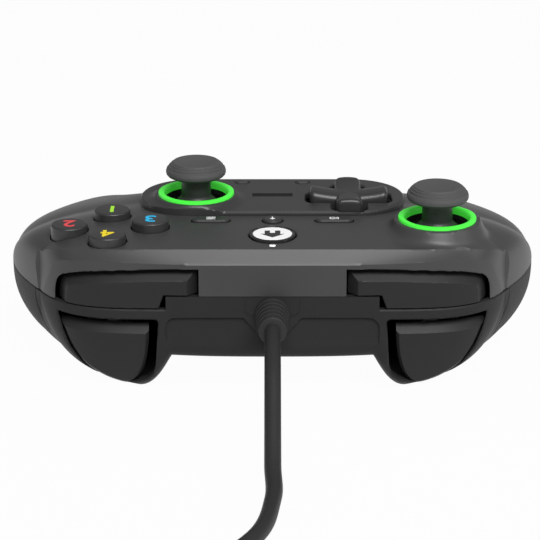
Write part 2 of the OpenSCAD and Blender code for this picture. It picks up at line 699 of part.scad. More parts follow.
module left_frame_arm() {
  for (x = [hub_x[0] - 0.6 - lug_t, hub_x[1] + 0.6])
    difference() {
      union() {
        rod_x(x, x + lug_t, pin_y, pin_z, hub_r - 0.8);
        block(x, x + lug_t, pin_y, pin_y + 4, pin_z - 2, pin_z + 2);
        block(x, x + lug_t, pin_y + 1.6, pin_y + 4, pin_z - 2, frame_top - frame_t);
        block(x, x + lug_t, pin_y + 1.6, pin_y + 7, frame_top - frame_t, frame_top);
      }
      rod_x(x - 1, x + lug_t + 1, pin_y, pin_z, pin_r);
    }
}
module half_plate(points) {
  polygon(concat(points, [for (i = [len(points) - 1:-1:0]) [-points[i][0], points[i][1]]]));
}
module middle_frame() {
  color("#3f4145") difference() {
    union() {
      translate([0, 0, frame_top - frame_t]) linear_extrude(height = frame_t)
        half_plate([[12, front_y + 8], [board_x - 8, front_y + 9.6], [board_x - 1, front_y + 12],
          [board_x - 1, front_y + 40], [notch_x + 8, back_y - 8], [10, back_y - 6]]);
      for (m = [0, 1])
        mirror([m, 0, 0]) {
          left_frame_arm();
          block(hinge_x - 3, hinge_x + 3, hinge_y - 1.6, front_y + 9, frame_top - frame_t, frame_top);
          disc(hinge_x, hinge_y, frame_top - 1, bumper_top - 1.4, hinge_r);
          disc(14, front_y + 28, belly_z + wall + 0.3, frame_top - 1, 3);
        }
    }
    for (s = screws)
      disc(s[0], s[1], 0, tall, post_r + 0.5);
    block(-9, 9, front_y + 14, front_y + 34, 0, tall);
  }
}
module main_board() {
  color("#1d5b34") translate([0, 0, frame_top]) linear_extrude(height = board_t) difference() {
    half_plate([[5, front_y + 4.6], [7, front_y + 7.6], [board_x - 7, front_y + 7.6], [board_x, front_y + 12.5],
      [board_x, front_y + 48], [notch_x + 8, back_y - 5], [10, back_y - 5]]);
    for (s = screws)
      translate([s[0], s[1]]) circle(r = post_r + 0.5);
  }
}
module face_pads() {
  color("#6d7075") {
    for (p = button_spots)
      disc(p[0], p[1], board_top, board_top + 0.8, 3);
    block(-button_x - 0.8, -button_x + 0.8, button_y - button_span_y / 2, button_y + button_span_y / 2, board_top,
      board_top + 0.5);
    block(-button_x - button_span_x / 2 + 2, -button_x + button_span_x / 2, button_y - 0.8, button_y + 0.8, board_top,
      board_top + 0.5);
  }
}
module dpad_pads() {
  color("#6d7075") translate([dpad_x, dpad_y, board_top]) difference() {
    union() {
      cylinder(r = dpad_span / 2, h = 0.5);
      for (a = [0, 90, 180, 270])
        rotate(a) disc(10, 0, 0, 3.6, 1.6);
    }
    disc(0, 0, -1, 1, 8.6);
  }
}
module bumper_switches() {
  color("#b4b7bb") for (s = [-1, 1])
    block(s * (bumper_out - 9) - 1.8, s * (bumper_out - 9) + 1.8, front_y + 8.2, front_y + 10.6, board_top, board_top + 3);
}

// Vibration motors, one in each grip
motor_x = half_w - 26.5;
motor_y = back_y + 4.5;
motor_z = 13;
motor_r = 6;
motor_foot = max([for (x = [motor_x - 3, motor_x + 3], y = [motor_y + 1, motor_y + 11]) bottom_z(x, y, wall)]) + 0.2;
module left_motor() {
  color("#9a9da1") {
    difference() {
      rod_y(motor_y, motor_y + 12, motor_x, motor_z, motor_r);
      rod_y(motor_y - 1, motor_y + 8, motor_x, motor_z, 1 + pin_play);
    }
    difference() {
      block(motor_x - 3, motor_x + 3, motor_y + 1, motor_y + 11, motor_foot, motor_z - 3);
      rod_y(motor_y - 1, motor_y + 13, motor_x, motor_z, motor_r);
    }
  }
}
module left_weight() {
  color("#8a7a58") translate([motor_x, 0, motor_z]) {
    difference() {
      rod_y(motor_y - 8, motor_y - 1.5, 0, 0, 7);
      block(-8, 8, motor_y - 9, motor_y, 1.2, 8);
    }
    rod_y(motor_y - 8, motor_y + 7, 0, 0, 1);
  }
}

// Rear edge, screws
module headset_socket() {
  color("#0f0f10") difference() {
    union() {
      rod_y(back_y - 18, back_y - 1.6, 0, socket_z, 3.6);
      block(-4.5, 4.5, back_y - 19, back_y - 11, socket_z - 4, socket_z + 4);
      disc(0, back_y - 15, socket_z + 2, frame_top - frame_t, 2.5);
    }
    rod_y(back_y - 14, back_y, 0, socket_z, 1.8);
  }
}
module housing_screws() {
  color("#5d6064") for (s = screws)
    translate([s[0], s[1], s[2]]) difference() {
      union() {
        cylinder(r = head_r, h = head_h);
        cylinder(r = screw_r, h = head_h + screw_len);
      }
      block(-1.6, 1.6, -0.3, 0.3, -1, 0.6);
      block(-0.3, 0.3, -1.6, 1.6, -1, 0.6);
    }
}

// Cord
module cord_sleeve() {
  n = 6;
  run = front_y - 1.4 - sleeve_end;
  pitch = run / n;
  rib = [for (i = [0:n - 1]) let (z = i * pitch, r = 4.7 - 0.5 * i / n)
    each [[r, z], [r, z + pitch * 0.6], [r - 0.6, z + pitch * 0.65], [r - 0.6, z + pitch * 0.95]]];
  color("#1b1c1e") {
    translate([0, front_y - 1.4, sleeve_z]) rotate([90, 0, 0]) rotate_extrude()
      polygon(concat([[0, 0]], rib, [[4.2, run], [0, run]]));
    translate([0, front_y, sleeve_z]) rotate([90, 0, 0]) linear_extrude(height = 1.4) {
      circle(r = 6.6);
      translate([-6.6, 0]) square([13.2, tab_top - sleeve_z]);
    }
    rod_y(front_y - 1, front_y + 5, 0, sleeve_z, 2.6);
  }
}
module cord_lead() {
  color("#202123") tube(route(lead_route, 3), cord_d / 2, 8, [0, -1, 0], [0, -1, 0]);
}
function leg(t) = let (k = floor(t / leg_turns), f = t / leg_turns - k) k % 2 == 0 ? f : 1 - f;
function lift(t) = [for (k = [1:coil_layers - 1]) clamp01((t - k * leg_turns + 0.25) / 0.5)] * [1, 1, 1];
function coil_point(t) = let (r = coil_r - coil_pitch * leg_turns * leg(t), a = 180 + 360 * t)
  [coil_x + r * cos(a), coil_y + r * sin(a), lay_z + coil_pitch * lift(t)];
coil_steps = 24;
coil_path = [for (i = [0:coil_turns * coil_steps]) coil_point(i / coil_steps)];
coil_least = min([for (i = [0:len(coil_path) - 1], j = [i + coil_steps / 2:1:len(coil_path) - 1])
  norm(coil_path[i] - coil_path[j])]) - cord_d;
echo(coil_least = coil_least);
module cord_coil() {
  color("#202123") tube(coil_path, cord_d / 2, 6, [0, -1, 0], [1, 0, 0]);
}
module cord_tail() {
  color("#202123") tube(route(tail_route, 3), cord_d / 2, 8, [1, 0, 0], [1, 0, 0]);
}
module cord_tie() {
  lo = coil_r - coil_pitch * leg_turns - cord_d / 2 - 0.6;
  hi = coil_r + cord_d / 2 + 0.6;
  top = top_lay_z + cord_d / 2 + 0.3;
  color("#101112") translate([coil_x, coil_y, 0]) difference() {
    block(lo - tie_t, hi + tie_t, -4, 4, 0, top + tie_t);
    block(lo, hi, -5, 5, tie_t, top);
  }
}
module plug_body() {
  color("#1b1c1e") translate([plug_x, tail_y, plug_z]) {
    rod_x(0, 8, 0, 0, 3.2);
    block(8, 30, -7.8, 7.8, -4.2, 4.2);
  }
}
module plug_shell() {
  color("#c3c6ca") translate([plug_x + 30, tail_y, plug_z]) difference() {
    block(0, 12, -6, 6, -2.25, 2.25);
    block(-over, 13, -5.7, 5.7, -1.95, 1.95);
    for (s = [-1, 1])
      block(5, 7.6, s * 3 - 1.1, s * 3 + 1.1, -3, 3);
  }
}
module plug_tongue() {
  color("#e8e9ea") translate([plug_x + 30, tail_y, plug_z]) block(0, 11, -5.6, 5.6, 0.1, 1.9);
}

top_shell();
bottom_shell();
left_grip();
right_grip();
centre_panel();
stick_ring(left_stick_x, left_stick_y);  // left_ring
stick_ring(-right_stick_x, right_stick_y);  // right_ring
stick_cap(left_stick_x, left_stick_y);  // left_stick_cap
stick_cap(-right_stick_x, right_stick_y);  // right_stick_cap
stick_stem(left_stick_x, left_stick_y);  // left_stick_stem
stick_stem(-right_stick_x, right_stick_y);  // right_stick_stem
stick_shaft(left_stick_x, left_stick_y);  // left_stick_shaft
stick_shaft(-right_stick_x, right_stick_y);  // right_stick_shaft
gimbal_ring(left_stick_x, left_stick_y, pivot_z);  // left_rocker
gimbal_ring(-right_stick_x, right_stick_y, pivot_z);  // right_rocker
stick_sensor(left_stick_x, left_stick_y);  // left_sensor
stick_sensor(-right_stick_x, right_stick_y);  // right_sensor
dpad();
gimbal_ring(dpad_x, dpad_y, dpad_pivot_z);  // dpad_rocker
dpad_cradle();
face_button(0, 0);  // face_button_1
face_button(1, 90);  // face_button_2
face_button(2, 90);  // face_button_3
face_button(3, 0);  // face_button_4
small_button(-menu_x, menu_y, face_z + 0.7, menu_len, menu_w, 0.8);  // menu_button
small_button(menu_x, menu_y, face_z + 0.7, menu_len, menu_w, 0.8);  // view_button
share_button();
home_button();
status_light();
small_button(set_x, set_y, panel_top + 0.4, set_len, set_w, 0.5);  // left_set_button
small_button(-set_x, set_y, panel_top + 0.4, set_len, set_w, 0.5);  // right_set_button
left_bumper();
on_right() left_bumper();  // right_bumper
left_trigger();
on_right() left_trigger();  // right_trigger
left_trigger_pin();
on_right() left_trigger_pin();  // right_trigger_pin
left_trigger_spring();
on_right() left_trigger_spring();  // right_trigger_spring
middle_frame();
main_board();
face_pads();
dpad_pads();
bumper_switches();
left_motor();
on_right() left_motor();  // right_motor
left_weight();
on_right() left_weight();  // right_weight
headset_socket();
housing_screws();
cord_sleeve();
cord_lead();
cord_coil();
cord_tail();
cord_tie();
plug_body();
plug_shell();
plug_tongue();
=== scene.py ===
"""Wired gamepad: moulded housing, controls, cord and studio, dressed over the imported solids."""

import logging
import math
from dataclasses import dataclass
from enum import Enum
from functools import reduce
from typing import Any, Callable, Sequence

import bpy
import numpy as np
from mathutils import Matrix, Vector


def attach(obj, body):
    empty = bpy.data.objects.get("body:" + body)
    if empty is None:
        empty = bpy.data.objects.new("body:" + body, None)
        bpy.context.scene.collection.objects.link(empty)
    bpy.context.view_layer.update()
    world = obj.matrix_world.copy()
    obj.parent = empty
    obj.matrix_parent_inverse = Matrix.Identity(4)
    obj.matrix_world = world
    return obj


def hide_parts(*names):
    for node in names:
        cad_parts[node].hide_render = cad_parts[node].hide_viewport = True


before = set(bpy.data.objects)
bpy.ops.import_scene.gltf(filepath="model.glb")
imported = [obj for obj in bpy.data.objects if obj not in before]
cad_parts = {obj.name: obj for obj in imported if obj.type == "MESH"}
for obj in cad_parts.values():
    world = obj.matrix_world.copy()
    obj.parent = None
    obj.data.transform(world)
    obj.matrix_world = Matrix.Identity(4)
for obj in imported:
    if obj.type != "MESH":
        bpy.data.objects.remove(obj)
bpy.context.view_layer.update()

LOG = logging.getLogger("gamepad")
MM = 0.001
TINY = 1e-9
ON_AXIS = 1e-6
NO_CREASE = 180.0
MARK_ROOT = 0.1
CLOUD_CELLS = 60.0
SIDES = (("left", 1.0), ("right", -1.0))
Array = np.ndarray
Rule = Callable[[Array, Array, Array], Array]
Point2 = tuple[float, float]
Point3 = tuple[float, float, float]


class Grain(Enum):
    """Surface textures that the finishes choose from."""

    MOULDED = "moulded"
    GRIPPED = "gripped"
    RUBBER = "rubber"
    SATIN = "satin"
    BRUSHED = "brushed"


class Axis(Enum):
    """Ways that a turned piece can point."""

    UP = "up"
    FRONT = "front"


@dataclass(frozen=True)
class GrainSize:
    """Scale of a texture: cells per metre, depth in metres, its strength and how far the gloss wanders."""

    cells: float
    depth: float
    strength: float
    gloss_spread: float


GRAINS = {
    Grain.MOULDED: GrainSize(4200.0, 0.00003, 0.22, 0.05),
    Grain.GRIPPED: GrainSize(1700.0, 0.00016, 0.55, 0.08),
    Grain.RUBBER: GrainSize(5200.0, 0.00003, 0.30, 0.06),
    Grain.SATIN: GrainSize(2600.0, 0.00001, 0.12, 0.04),
    Grain.BRUSHED: GrainSize(3000.0, 0.00002, 0.15, 0.08),
}


def set_inputs(node: bpy.types.Node, **values: Any) -> bpy.types.Node:
    """Sets inputs of a node.

    Args:
        node: The node.
        values: Values by input name, with underscores for spaces.

    Returns:
        The same node.
    """
    for name, value in values.items():
        node.inputs[name.replace("_", " ")].default_value = value
    return node


def wire(tree: bpy.types.NodeTree, *runs: tuple) -> None:
    """Links nodes of a tree.

    Args:
        tree: The tree.
        runs: For each link the source, its output, the target and its input.
    """
    for source, out, target, into in runs:
        tree.links.new(source.outputs[out], target.inputs[into])


@dataclass(frozen=True)
class Finish:
    """One finish of the gamepad: colour in linear light, gloss, texture and glow."""

    name: str
    color: tuple[float, float, float]
    roughness: float
    grain: Grain
    metallic: float = 0.0
    glow: float = 0.0
    mottle: float = 0.12
    specular: float = 0.5

    def material(self) -> bpy.types.Material:
        """Finds the finish's material, or makes it on first use.

        Returns:
            The node material, patterned on Object coordinates.
        """
        found = bpy.data.materials.get(self.name)
        if found:
            return found
        made = bpy.data.materials.new(self.name)
        made.use_nodes = True
        made.diffuse_color = (*self.color, 1.0)
        tree, size, celled = made.node_tree, GRAINS[self.grain], self.grain is Grain.GRIPPED
        add = tree.nodes.new
        shader = set_inputs(tree.nodes["Principled BSDF"], Metallic=self.metallic,
                            Specular_IOR_Level=self.specular)
        if self.glow:
            set_inputs(shader, Emission_Color=(*self.color, 1.0), Emission_Strength=self.glow)
        coords, tint = add("ShaderNodeTexCoord"), add("ShaderNodeValToRGB")
        cloud = set_inputs(add("ShaderNodeTexNoise"), Scale=CLOUD_CELLS, Detail=4.0)
        for stop, share in zip(tint.color_ramp.elements, (1.0 - self.mottle, 1.0 + self.mottle)):
            stop.color = (*(min(1.0, part * share) for part in self.color), 1.0)
        gloss = set_inputs(add("ShaderNodeMapRange"), To_Min=max(0.02, self.roughness - size.gloss_spread),
                           To_Max=min(1.0, self.roughness + size.gloss_spread))
        fine = set_inputs(add("ShaderNodeTexVoronoi" if celled else "ShaderNodeTexNoise"), Scale=size.cells)
        bump = set_inputs(add("ShaderNodeBump"), Strength=size.strength, Distance=size.depth)
        wire(tree, (coords, "Object", cloud, "Vector"), (cloud, "Fac", tint, "Fac"),
             (tint, "Color", shader, "Base Color"), (cloud, "Fac", gloss, "Value"),
             (gloss, "Result", shader, "Roughness"), (coords, "Object", fine, "Vector"),
             (fine, "Distance" if celled else "Fac", bump, "Height"), (bump, "Normal", shader, "Normal"))
        return made


SHELL = Finish("shell_black", (0.041, 0.041, 0.042), 0.42, Grain.MOULDED, specular=0.45)
# Painted shade: the shell's black plastic, made darker and less glossy to stand in for the shade on the lower
# half and the sleeve plate.
LOWER_SHADED = Finish("lower_black", (0.021, 0.021, 0.022), 0.50, Grain.MOULDED, specular=0.17)
GRIP = Finish("grip_grey", (0.030, 0.030, 0.031), 0.60, Grain.GRIPPED, specular=0.22)
PANEL = Finish("panel_black", (0.030, 0.030, 0.031), 0.38, Grain.SATIN, specular=0.45)
# The green ring's emission is a painted glow that keeps the green bright; the ring is no lamp.
RING_PAINTED_GLOW = Finish("ring_green", (0.060, 0.800, 0.050), 0.32, Grain.SATIN, glow=0.25, mottle=0.03)
RUBBER = Finish("cap_rubber", (0.072, 0.072, 0.073), 0.62, Grain.RUBBER, specular=0.35)
STEM = Finish("stem_black", (0.022, 0.022, 0.023), 0.42, Grain.SATIN, specular=0.4)
CONTROL = Finish("control_black", (0.026, 0.026, 0.027), 0.38, Grain.MOULDED)
# Painted shade: the same black plastic, made darker and less glossy to stand in for the shade on the
# downward-leaning bumper and trigger faces.
SHOULDER_SHADED = Finish("shoulder_black", (0.020, 0.020, 0.021), 0.44, Grain.MOULDED, specular=0.2)
STRIP = Finish("strip_black", (0.006, 0.006, 0.006), 0.50, Grain.SATIN, specular=0.15)
GLOSS = Finish("home_black", (0.010, 0.010, 0.011), 0.18, Grain.SATIN)
WHITE = Finish("mark_white", (0.900, 0.900, 0.900), 0.45, Grain.SATIN, mottle=0.03)
LIGHT = Finish("light_white", (0.950, 0.960, 0.980), 0.30, Grain.SATIN, glow=0.6, mottle=0.02)
GREEN = Finish("mark_green", (0.380, 0.800, 0.030), 0.45, Grain.SATIN, mottle=0.03)
RED = Finish("mark_red", (0.760, 0.060, 0.070), 0.45, Grain.SATIN, mottle=0.03)
BLUE = Finish("mark_blue", (0.010, 0.460, 0.800), 0.45, Grain.SATIN, mottle=0.03)
YELLOW = Finish("mark_yellow", (0.860, 0.680, 0.010), 0.45, Grain.SATIN, mottle=0.03)
STEEL = Finish("screw_steel", (0.300, 0.305, 0.310), 0.34, Grain.BRUSHED, metallic=1.0)
BRIGHT = Finish("plug_steel", (0.560, 0.565, 0.570), 0.28, Grain.BRUSHED, metallic=1.0)
WORKS = Finish("works_black", (0.016, 0.016, 0.017), 0.55, Grain.SATIN, specular=0.3)
BOARD = Finish("board_green", (0.006, 0.050, 0.018), 0.42, Grain.SATIN)
PADS = Finish("pad_grey", (0.150, 0.155, 0.162), 0.65, Grain.RUBBER)
WEIGHT = Finish("weight_brass", (0.250, 0.190, 0.095), 0.36, Grain.BRUSHED, metallic=1.0)
CORD = Finish("cord_black", (0.020, 0.020, 0.021), 0.52, Grain.RUBBER, specular=0.3)
TONGUE = Finish("tongue_white", (0.800, 0.800, 0.800), 0.40, Grain.SATIN, mottle=0.03)


def smooth(t: Array) -> Array:
    """Eases 0 to 1, flat at both ends."""
    c = np.clip(t, 0.0, 1.0)
    return c * c * (3.0 - 2.0 * c)


@dataclass(frozen=True)
class Ease:
    """A smooth change from 0 to 1 that begins at `start` and takes `run` millimetres."""

    start: float
    run: float

    def at(self, t: Array) -> Array:
        """Share of the change at a place."""
        return smooth((t - self.start) / self.run)


def fall(t: Array, power: float) -> Array:
    """Falls from 1 to 0 along a rounded quarter of the given power."""
    return np.maximum(0.0, 1.0 - np.clip(t, 0.0, 1.0) ** power) ** (1.0 / power)


def both(*fields: Array) -> Array:
    """Keeps what lies in every one of the fields."""
    return reduce(np.maximum, fields)


def either(*fields: Array) -> Array:
    """Keeps what lies in any one of the fields."""
    return reduce(np.minimum, fields)


def chamfer(a: Array, b: Array, cut: float) -> Array:
    """Meets two fields in a bevel that takes `cut` off each."""
    return both(a, b, (a + b + cut) * math.sqrt(0.5))


def rounded(a: Array, b: Array, r: float) -> Array:
    """Meets two fields in a round edge of radius `r`."""
    return np.minimum(both(a, b), -r) + np.hypot(np.maximum(a + r, 0.0), np.maximum(b + r, 0.0))


def soft_union(a: Array, b: Array, reach: float) -> Array:
    """Joins two fields with a fillet of about `reach`."""
    h = np.clip(0.5 + 0.5 * (b - a) / reach, 0.0, 1.0)
    return b + (a - b) * h - reach * h * (1.0 - h)


def pill(x: Array, y: Array, length: float, width: float) -> Array:
    """Distance to a bar with round ends that lies along x."""
    return np.hypot(np.maximum(np.abs(x) - (length - width) / 2, 0.0), y) - width / 2


def slab(x: Array, lo: float, hi: float) -> Array:
    """Distance to the space between two planes."""
    return np.maximum(lo - x, x - hi)


def rect(u0: float, v0: float, u1: float, v1: float) -> list[Point2]:
    """Corners of a rectangle between two of them."""
    return [(u0, v0), (u1, v0), (u1, v1), (u0, v1)]


def polygon(u: Array, v: Array, corners: Sequence[Point2]) -> Array:
    """Distance to a closed outline.

    Args:
        u: First coordinate of the points.
        v: Second coordinate of the points.
        corners: The outline's corners in order.

    Returns:
        The distance, negative inside.
    """
    best: Array = np.full(np.broadcast(u, v).shape, np.inf)
    inside: Array = np.zeros(best.shape, bool)
    for (ax, ay), (bx, by) in zip([corners[-1], *corners[:-1]], corners):
        ex, ey = bx - ax, by - ay
        t = np.clip(((u - ax) * ex + (v - ay) * ey) / max(ex * ex + ey * ey, TINY**2), 0.0, 1.0)
        best = np.minimum(best, (u - ax - ex * t) ** 2 + (v - ay - ey * t) ** 2)
        inside ^= ((ay > v) != (by > v)) & (u < ex * (v - ay) / (ey or TINY) + ax)
    return np.where(inside, -1.0, 1.0) * np.sqrt(best)


def filleted(corners: Sequence[Point3], steps: int = 6) -> list[Point2]:
    """Rounds the corners of an outline.

    Args:
        corners: Corner places, each with its radius.
        steps: Points on a rounded corner, less one.

    Returns:
        The rounded outline's points.
    """
    made: list[Point2] = []
    for k, (x, y, r) in enumerate(corners):
        if r <= 0.0:
            made.append((x, y))
            continue
        here = Vector((x, y))
        before = Vector(corners[k - 1][:2]) - here
        after = Vector(corners[(k + 1) % len(corners)][:2]) - here
        run = min(r / math.tan(before.angle(after) / 2), 0.49 * before.length, 0.49 * after.length)
        a, b = here + before.normalized() * run, here + after.normalized() * run
        for i in range(steps + 1):
            t = i / steps
            made.append(tuple((1 - t) ** 2 * a + 2 * t * (1 - t) * here + t * t * b))
    return made


def through(points: Sequence[Sequence[float]], steps: int) -> Array:
    """Runs a smooth curve through points.

    Args:
        points: The points to pass.
        steps: Pieces between two of them.

    Returns:
        The points of the curve, ends included.
    """
    p = np.array(points, float)
    last = len(p) - 1
    run = []
    for i in range(last):
        a, b, c, d = p[max(i - 1, 0)], p[i], p[i + 1], p[min(i + 2, last)]
        for t in np.arange(steps) / steps:
            bend = (2 * a - 5 * b + 4 * c - d) * t**2 + (3 * b - a - 3 * c + d) * t**3
            run.append(0.5 * (2 * b + (c - a) * t + bend))
    return np.array([*run, p[last]])


def make_mesh(name: str, points: Sequence | Array, faces: Sequence[Sequence[int]], crease: float = 0.0,
              unit: float = MM) -> bpy.types.Mesh:
    """Makes a mesh.

    Args:
        name: The mesh's name.
        points: Its corners.
        faces: Corner numbers of each face. A number that comes twice counts once.
        crease: Edges that turn more than this many degrees stay sharp. At 0 every face is flat.
        unit: Metres in a unit of the points.

    Returns:
        The mesh, in metres.
    """
    made = bpy.data.meshes.new(name)
    made.from_pydata((np.asarray(points) * unit).tolist(), [], [list(dict.fromkeys(face)) for face in faces])
    made.validate()
    if crease:
        made.shade_smooth()
        made.set_sharp_from_angle(angle=math.radians(crease))
    return made


@dataclass(frozen=True)
class Contour:
    """Meshes the skin of a signed field, in millimetres, and keeps its edges crisp.

    Attributes:
        rule: The field, negative inside.
        lo: Low corner of the space to search.
        hi: High corner of that space.
        step: Size of a grid cell.
        margin: Cells added below and above, uneven to keep grid lines off flat faces.
        turns: Rounds of the search along an edge.
        clamp: Least and greatest share of the edge that a round may cut off.
        probe: Reach of the measure of a slope.
        hold: Pull of a vertex to the middle of its crossings.
        stray: Cells that a vertex may move from there.
        even: Length of the mean normal above which a cell counts as smooth.
    """

    rule: Rule
    lo: Point3
    hi: Point3
    step: float
    margin: Point2 = (2.13, 2.3)
    turns: int = 6
    clamp: Point2 = (0.08, 0.92)
    probe: float = 0.03
    hold: float = 0.04
    stray: float = 0.75
    even: float = 0.985

    @classmethod
    def on_side(cls, rule: Rule, sign: float, lo: Point3, hi: Point3, step: float) -> "Contour":
        """Frames a rule that is written for the left side.

        Args:
            rule: The field of the left piece.
            sign: 1 for the left side, -1 for the right one.
            lo: Low corner on the left.
            hi: High corner on the left.
            step: Size of a grid cell.

        Returns:
            The contour, mirrored for the right side.
        """
        near, far = sorted((lo[0] * sign, hi[0] * sign))
        return cls(lambda x, y, z: rule(sign * x, y, z), (near, *lo[1:]), (far, *hi[1:]), step)

    def axes(self) -> list[Array]:
        """Grid lines along each axis."""
        below, above = (cells * self.step for cells in self.margin)
        return [np.arange(a - below, b + above, self.step) for a, b in zip(self.lo, self.hi)]

    def root(self, p: Array, axis: int, f0: Array, f1: Array) -> Array:
        """Finds where the field is zero along grid edges.

        Args:
            p: Low ends of the edges.
            axis: The axis that they run along.
            f0: The field at the low ends.
            f1: The field at the high ends.

        Returns:
            The crossing points.
        """
        lo, hi, q = np.zeros(len(p)), np.full(len(p), self.step), p.copy()
        for turn in range(self.turns):
            share = np.clip(f0 / (f0 - f1), *self.clamp) if turn % 3 < 2 else 0.5
            t = lo + (hi - lo) * share
            q[:, axis] = p[:, axis] + t
            f = self.rule(*q.T)
            low_side = (f < 0) == (f0 < 0)
            lo, hi = np.where(low_side, t, lo), np.where(low_side, hi, t)
            f0, f1 = np.where(low_side, f, f0), np.where(low_side, f1, f)
        share = np.clip(f0 / np.where(f0 == f1, 1.0, f0 - f1), 0.0, 1.0)
        q[:, axis] = p[:, axis] + lo + (hi - lo) * share
        return q

    def slope(self, p: Array) -> Array:
        """Unit normals of the field at points.

        Args:
            p: The points, one a row.

        Returns:
            The normals, one a row.
        """
        made = np.empty_like(p)
        for axis in range(3):
            ahead, behind = p.copy(), p.copy()
            ahead[:, axis] += self.probe
            behind[:, axis] -= self.probe
            made[:, axis] = self.rule(*ahead.T) - self.rule(*behind.T)
        return made / np.maximum(np.linalg.norm(made, axis=1, keepdims=True), TINY)

    def crossings(self) -> tuple[Array, Array]:
        """Finds where the skin crosses the grid.

        Returns:
            The crossing points, and for each the four cells round its edge, turned to face out.
        """
        axes = self.axes()
        value = np.broadcast_to(self.rule(*np.ix_(*axes)), [len(a) for a in axes])
        inside = value < 0
        dims = np.array(inside.shape)
        points, cells, turned = [], [], []
        for axis in range(3):
            at = np.argwhere(np.diff(inside, axis=axis))
            b, c = (axis + 1) % 3, (axis + 2) % 3
            at = at[(at[:, [b, c]] > 0).all(axis=1) & (at[:, [b, c]] < dims[[b, c]] - 1).all(axis=1)]
            beyond = at.copy()
            beyond[:, axis] += 1
            start = np.stack([axes[k][at[:, k]] for k in range(3)], axis=1)
            points.append(self.root(start, axis, value[tuple(at.T)], value[tuple(beyond.T)]))
            ring = []
            for db, dc in ((-1, -1), (0, -1), (0, 0), (-1, 0)):
                cell = at.copy()
                cell[:, b] += db
                cell[:, c] += dc
                ring.append(np.ravel_multi_index(tuple(cell.T), dims))
            cells.append(np.stack(ring, axis=1))
            turned.append(~inside[tuple(at.T)])
        quads = np.concatenate(cells)
        return np.concatenate(points), np.where(np.concatenate(turned)[:, None], quads[:, ::-1], quads)

    def mesh(self, name: str, crease: float = 30.0) -> bpy.types.Mesh:
        """Builds the mesh, with one vertex a cell where the planes at its crossings meet best.

        Args:
            name: The mesh's name.
            crease: Edges that turn more than this many degrees stay sharp.

        Returns:
            A closed mesh in metres.
        """
        p, quads = self.crossings()
        normal = self.slope(p)
        ids, flat = np.unique(quads.ravel(), return_inverse=True)
        flat = flat.reshape(-1)
        owner = np.repeat(np.arange(len(p)), 4)
        count = np.bincount(flat).astype(float)
        total = lambda rows: np.stack([np.bincount(flat, rows[owner, k]) for k in range(3)], axis=1)
        middle, facing = total(p) / count[:, None], total(normal) / count[:, None]
        n = normal[owner]
        lean = np.einsum("ij,ij->i", n, p[owner] - middle[flat])
        ata, atb = np.empty((len(ids), 3, 3)), np.empty((len(ids), 3))
        for i in range(3):
            atb[:, i] = np.bincount(flat, n[:, i] * lean)
            for j in range(3):
                ata[:, i, j] = np.bincount(flat, n[:, i] * n[:, j])
        ata += self.hold * count[:, None, None] * np.eye(3)
        move = np.linalg.solve(ata, atb[:, :, None])[:, :, 0]
        spot = middle + np.clip(move, -self.stray * self.step, self.stray * self.step)
        even = np.linalg.norm(facing, axis=1) > self.even
        spot[even] -= facing[even] * self.rule(*spot[even].T)[:, None]
        return make_mesh(name, spot, flat.reshape(-1, 4).tolist(), crease)


def lathe(name: str, profile: Sequence[Point2], centre: Point3, around: int = 96, crease: float = 30.0,
          axis: Axis = Axis.UP) -> bpy.types.Mesh:
    """Turns a profile round an axis.

    Args:
        name: The mesh's name.
        profile: Radius and height from the lower end on the axis round to the upper one, or a closed ring.
        centre: Where the axis and height zero lie, in millimetres.
        around: Steps in a turn.
        crease: Edges that turn more than this many degrees stay sharp.
        axis: The way that the height runs.

    Returns:
        A closed mesh in metres.
    """
    points: list[Point3] = []
    rows: list[list[int]] = []
    for r, h in profile:
        steps = around if r > ON_AXIS else 1
        rows.append([len(points) + k % steps for k in range(around)])
        for a in (2 * math.pi * k / around for k in range(steps)):
            u, v = r * math.cos(a), r * math.sin(a)
            points.append((u, v, h) if axis is Axis.UP else (u, -h, v))
    if profile[0][0] > ON_AXIS:
        rows.append(rows[0])
    faces = [[low[k - 1], low[k], high[k], high[k - 1]]
             for low, high in zip(rows, rows[1:]) for k in range(around)]
    return make_mesh(name, np.array(points) + np.array(centre), faces, crease)


def place(mesh: bpy.types.Mesh, body: str, slot: str, finish: Finish, *nodes: str) -> bpy.types.Object:
    """Links a finished mesh as a piece of the same name, dresses it and ties it to its body.

    Args:
        mesh: The mesh, already in place.
        body: The body that it moves with.
        slot: The record's material slot. Not used.
        finish: The finish to dress it in.
        nodes: Solids that it stands for.

    Returns:
        The new object.
    """
    made = bpy.data.objects.new(mesh.name, mesh)
    bpy.context.scene.collection.objects.link(made)
    mesh.materials.clear()
    mesh.materials.append(finish.material())
    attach(made, body)
    if nodes:
        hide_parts(*nodes)
    LOG.info("%s: %d faces on %s", made.name, len(mesh.polygons), body)
    return made


def print_mark(name: str, outlines: Sequence[Sequence[Point2]], centre: Point3, body: str, finish: Finish,
               proud: float = 0.05) -> bpy.types.Object:
    """Prints flat shapes on a level face, read from the player's side.

    Args:
        name: The piece's name.
        outlines: Convex outlines in millimetres, to the player's right and away from the player.
        centre: Where the mark lies, in millimetres.
        body: The body that it moves with.
        finish: Its colour.
        proud: How far it stands out.

    Returns:
        The new object.
    """
    points: list[Point3] = []
    faces: list[list[int]] = []
    for outline in outlines:
        low = [len(points) + k for k in range(len(outline))]
        high = [len(outline) + k for k in low]
        for lift in (-MARK_ROOT, proud):
            points += [(centre[0] - u, centre[1] - v, centre[2] + lift) for u, v in outline]
        faces += [high, low[::-1], *([low[k - 1], low[k], high[k], high[k - 1]] for k in range(len(low)))]
    return place(make_mesh(name, points, faces), body, "control", finish)


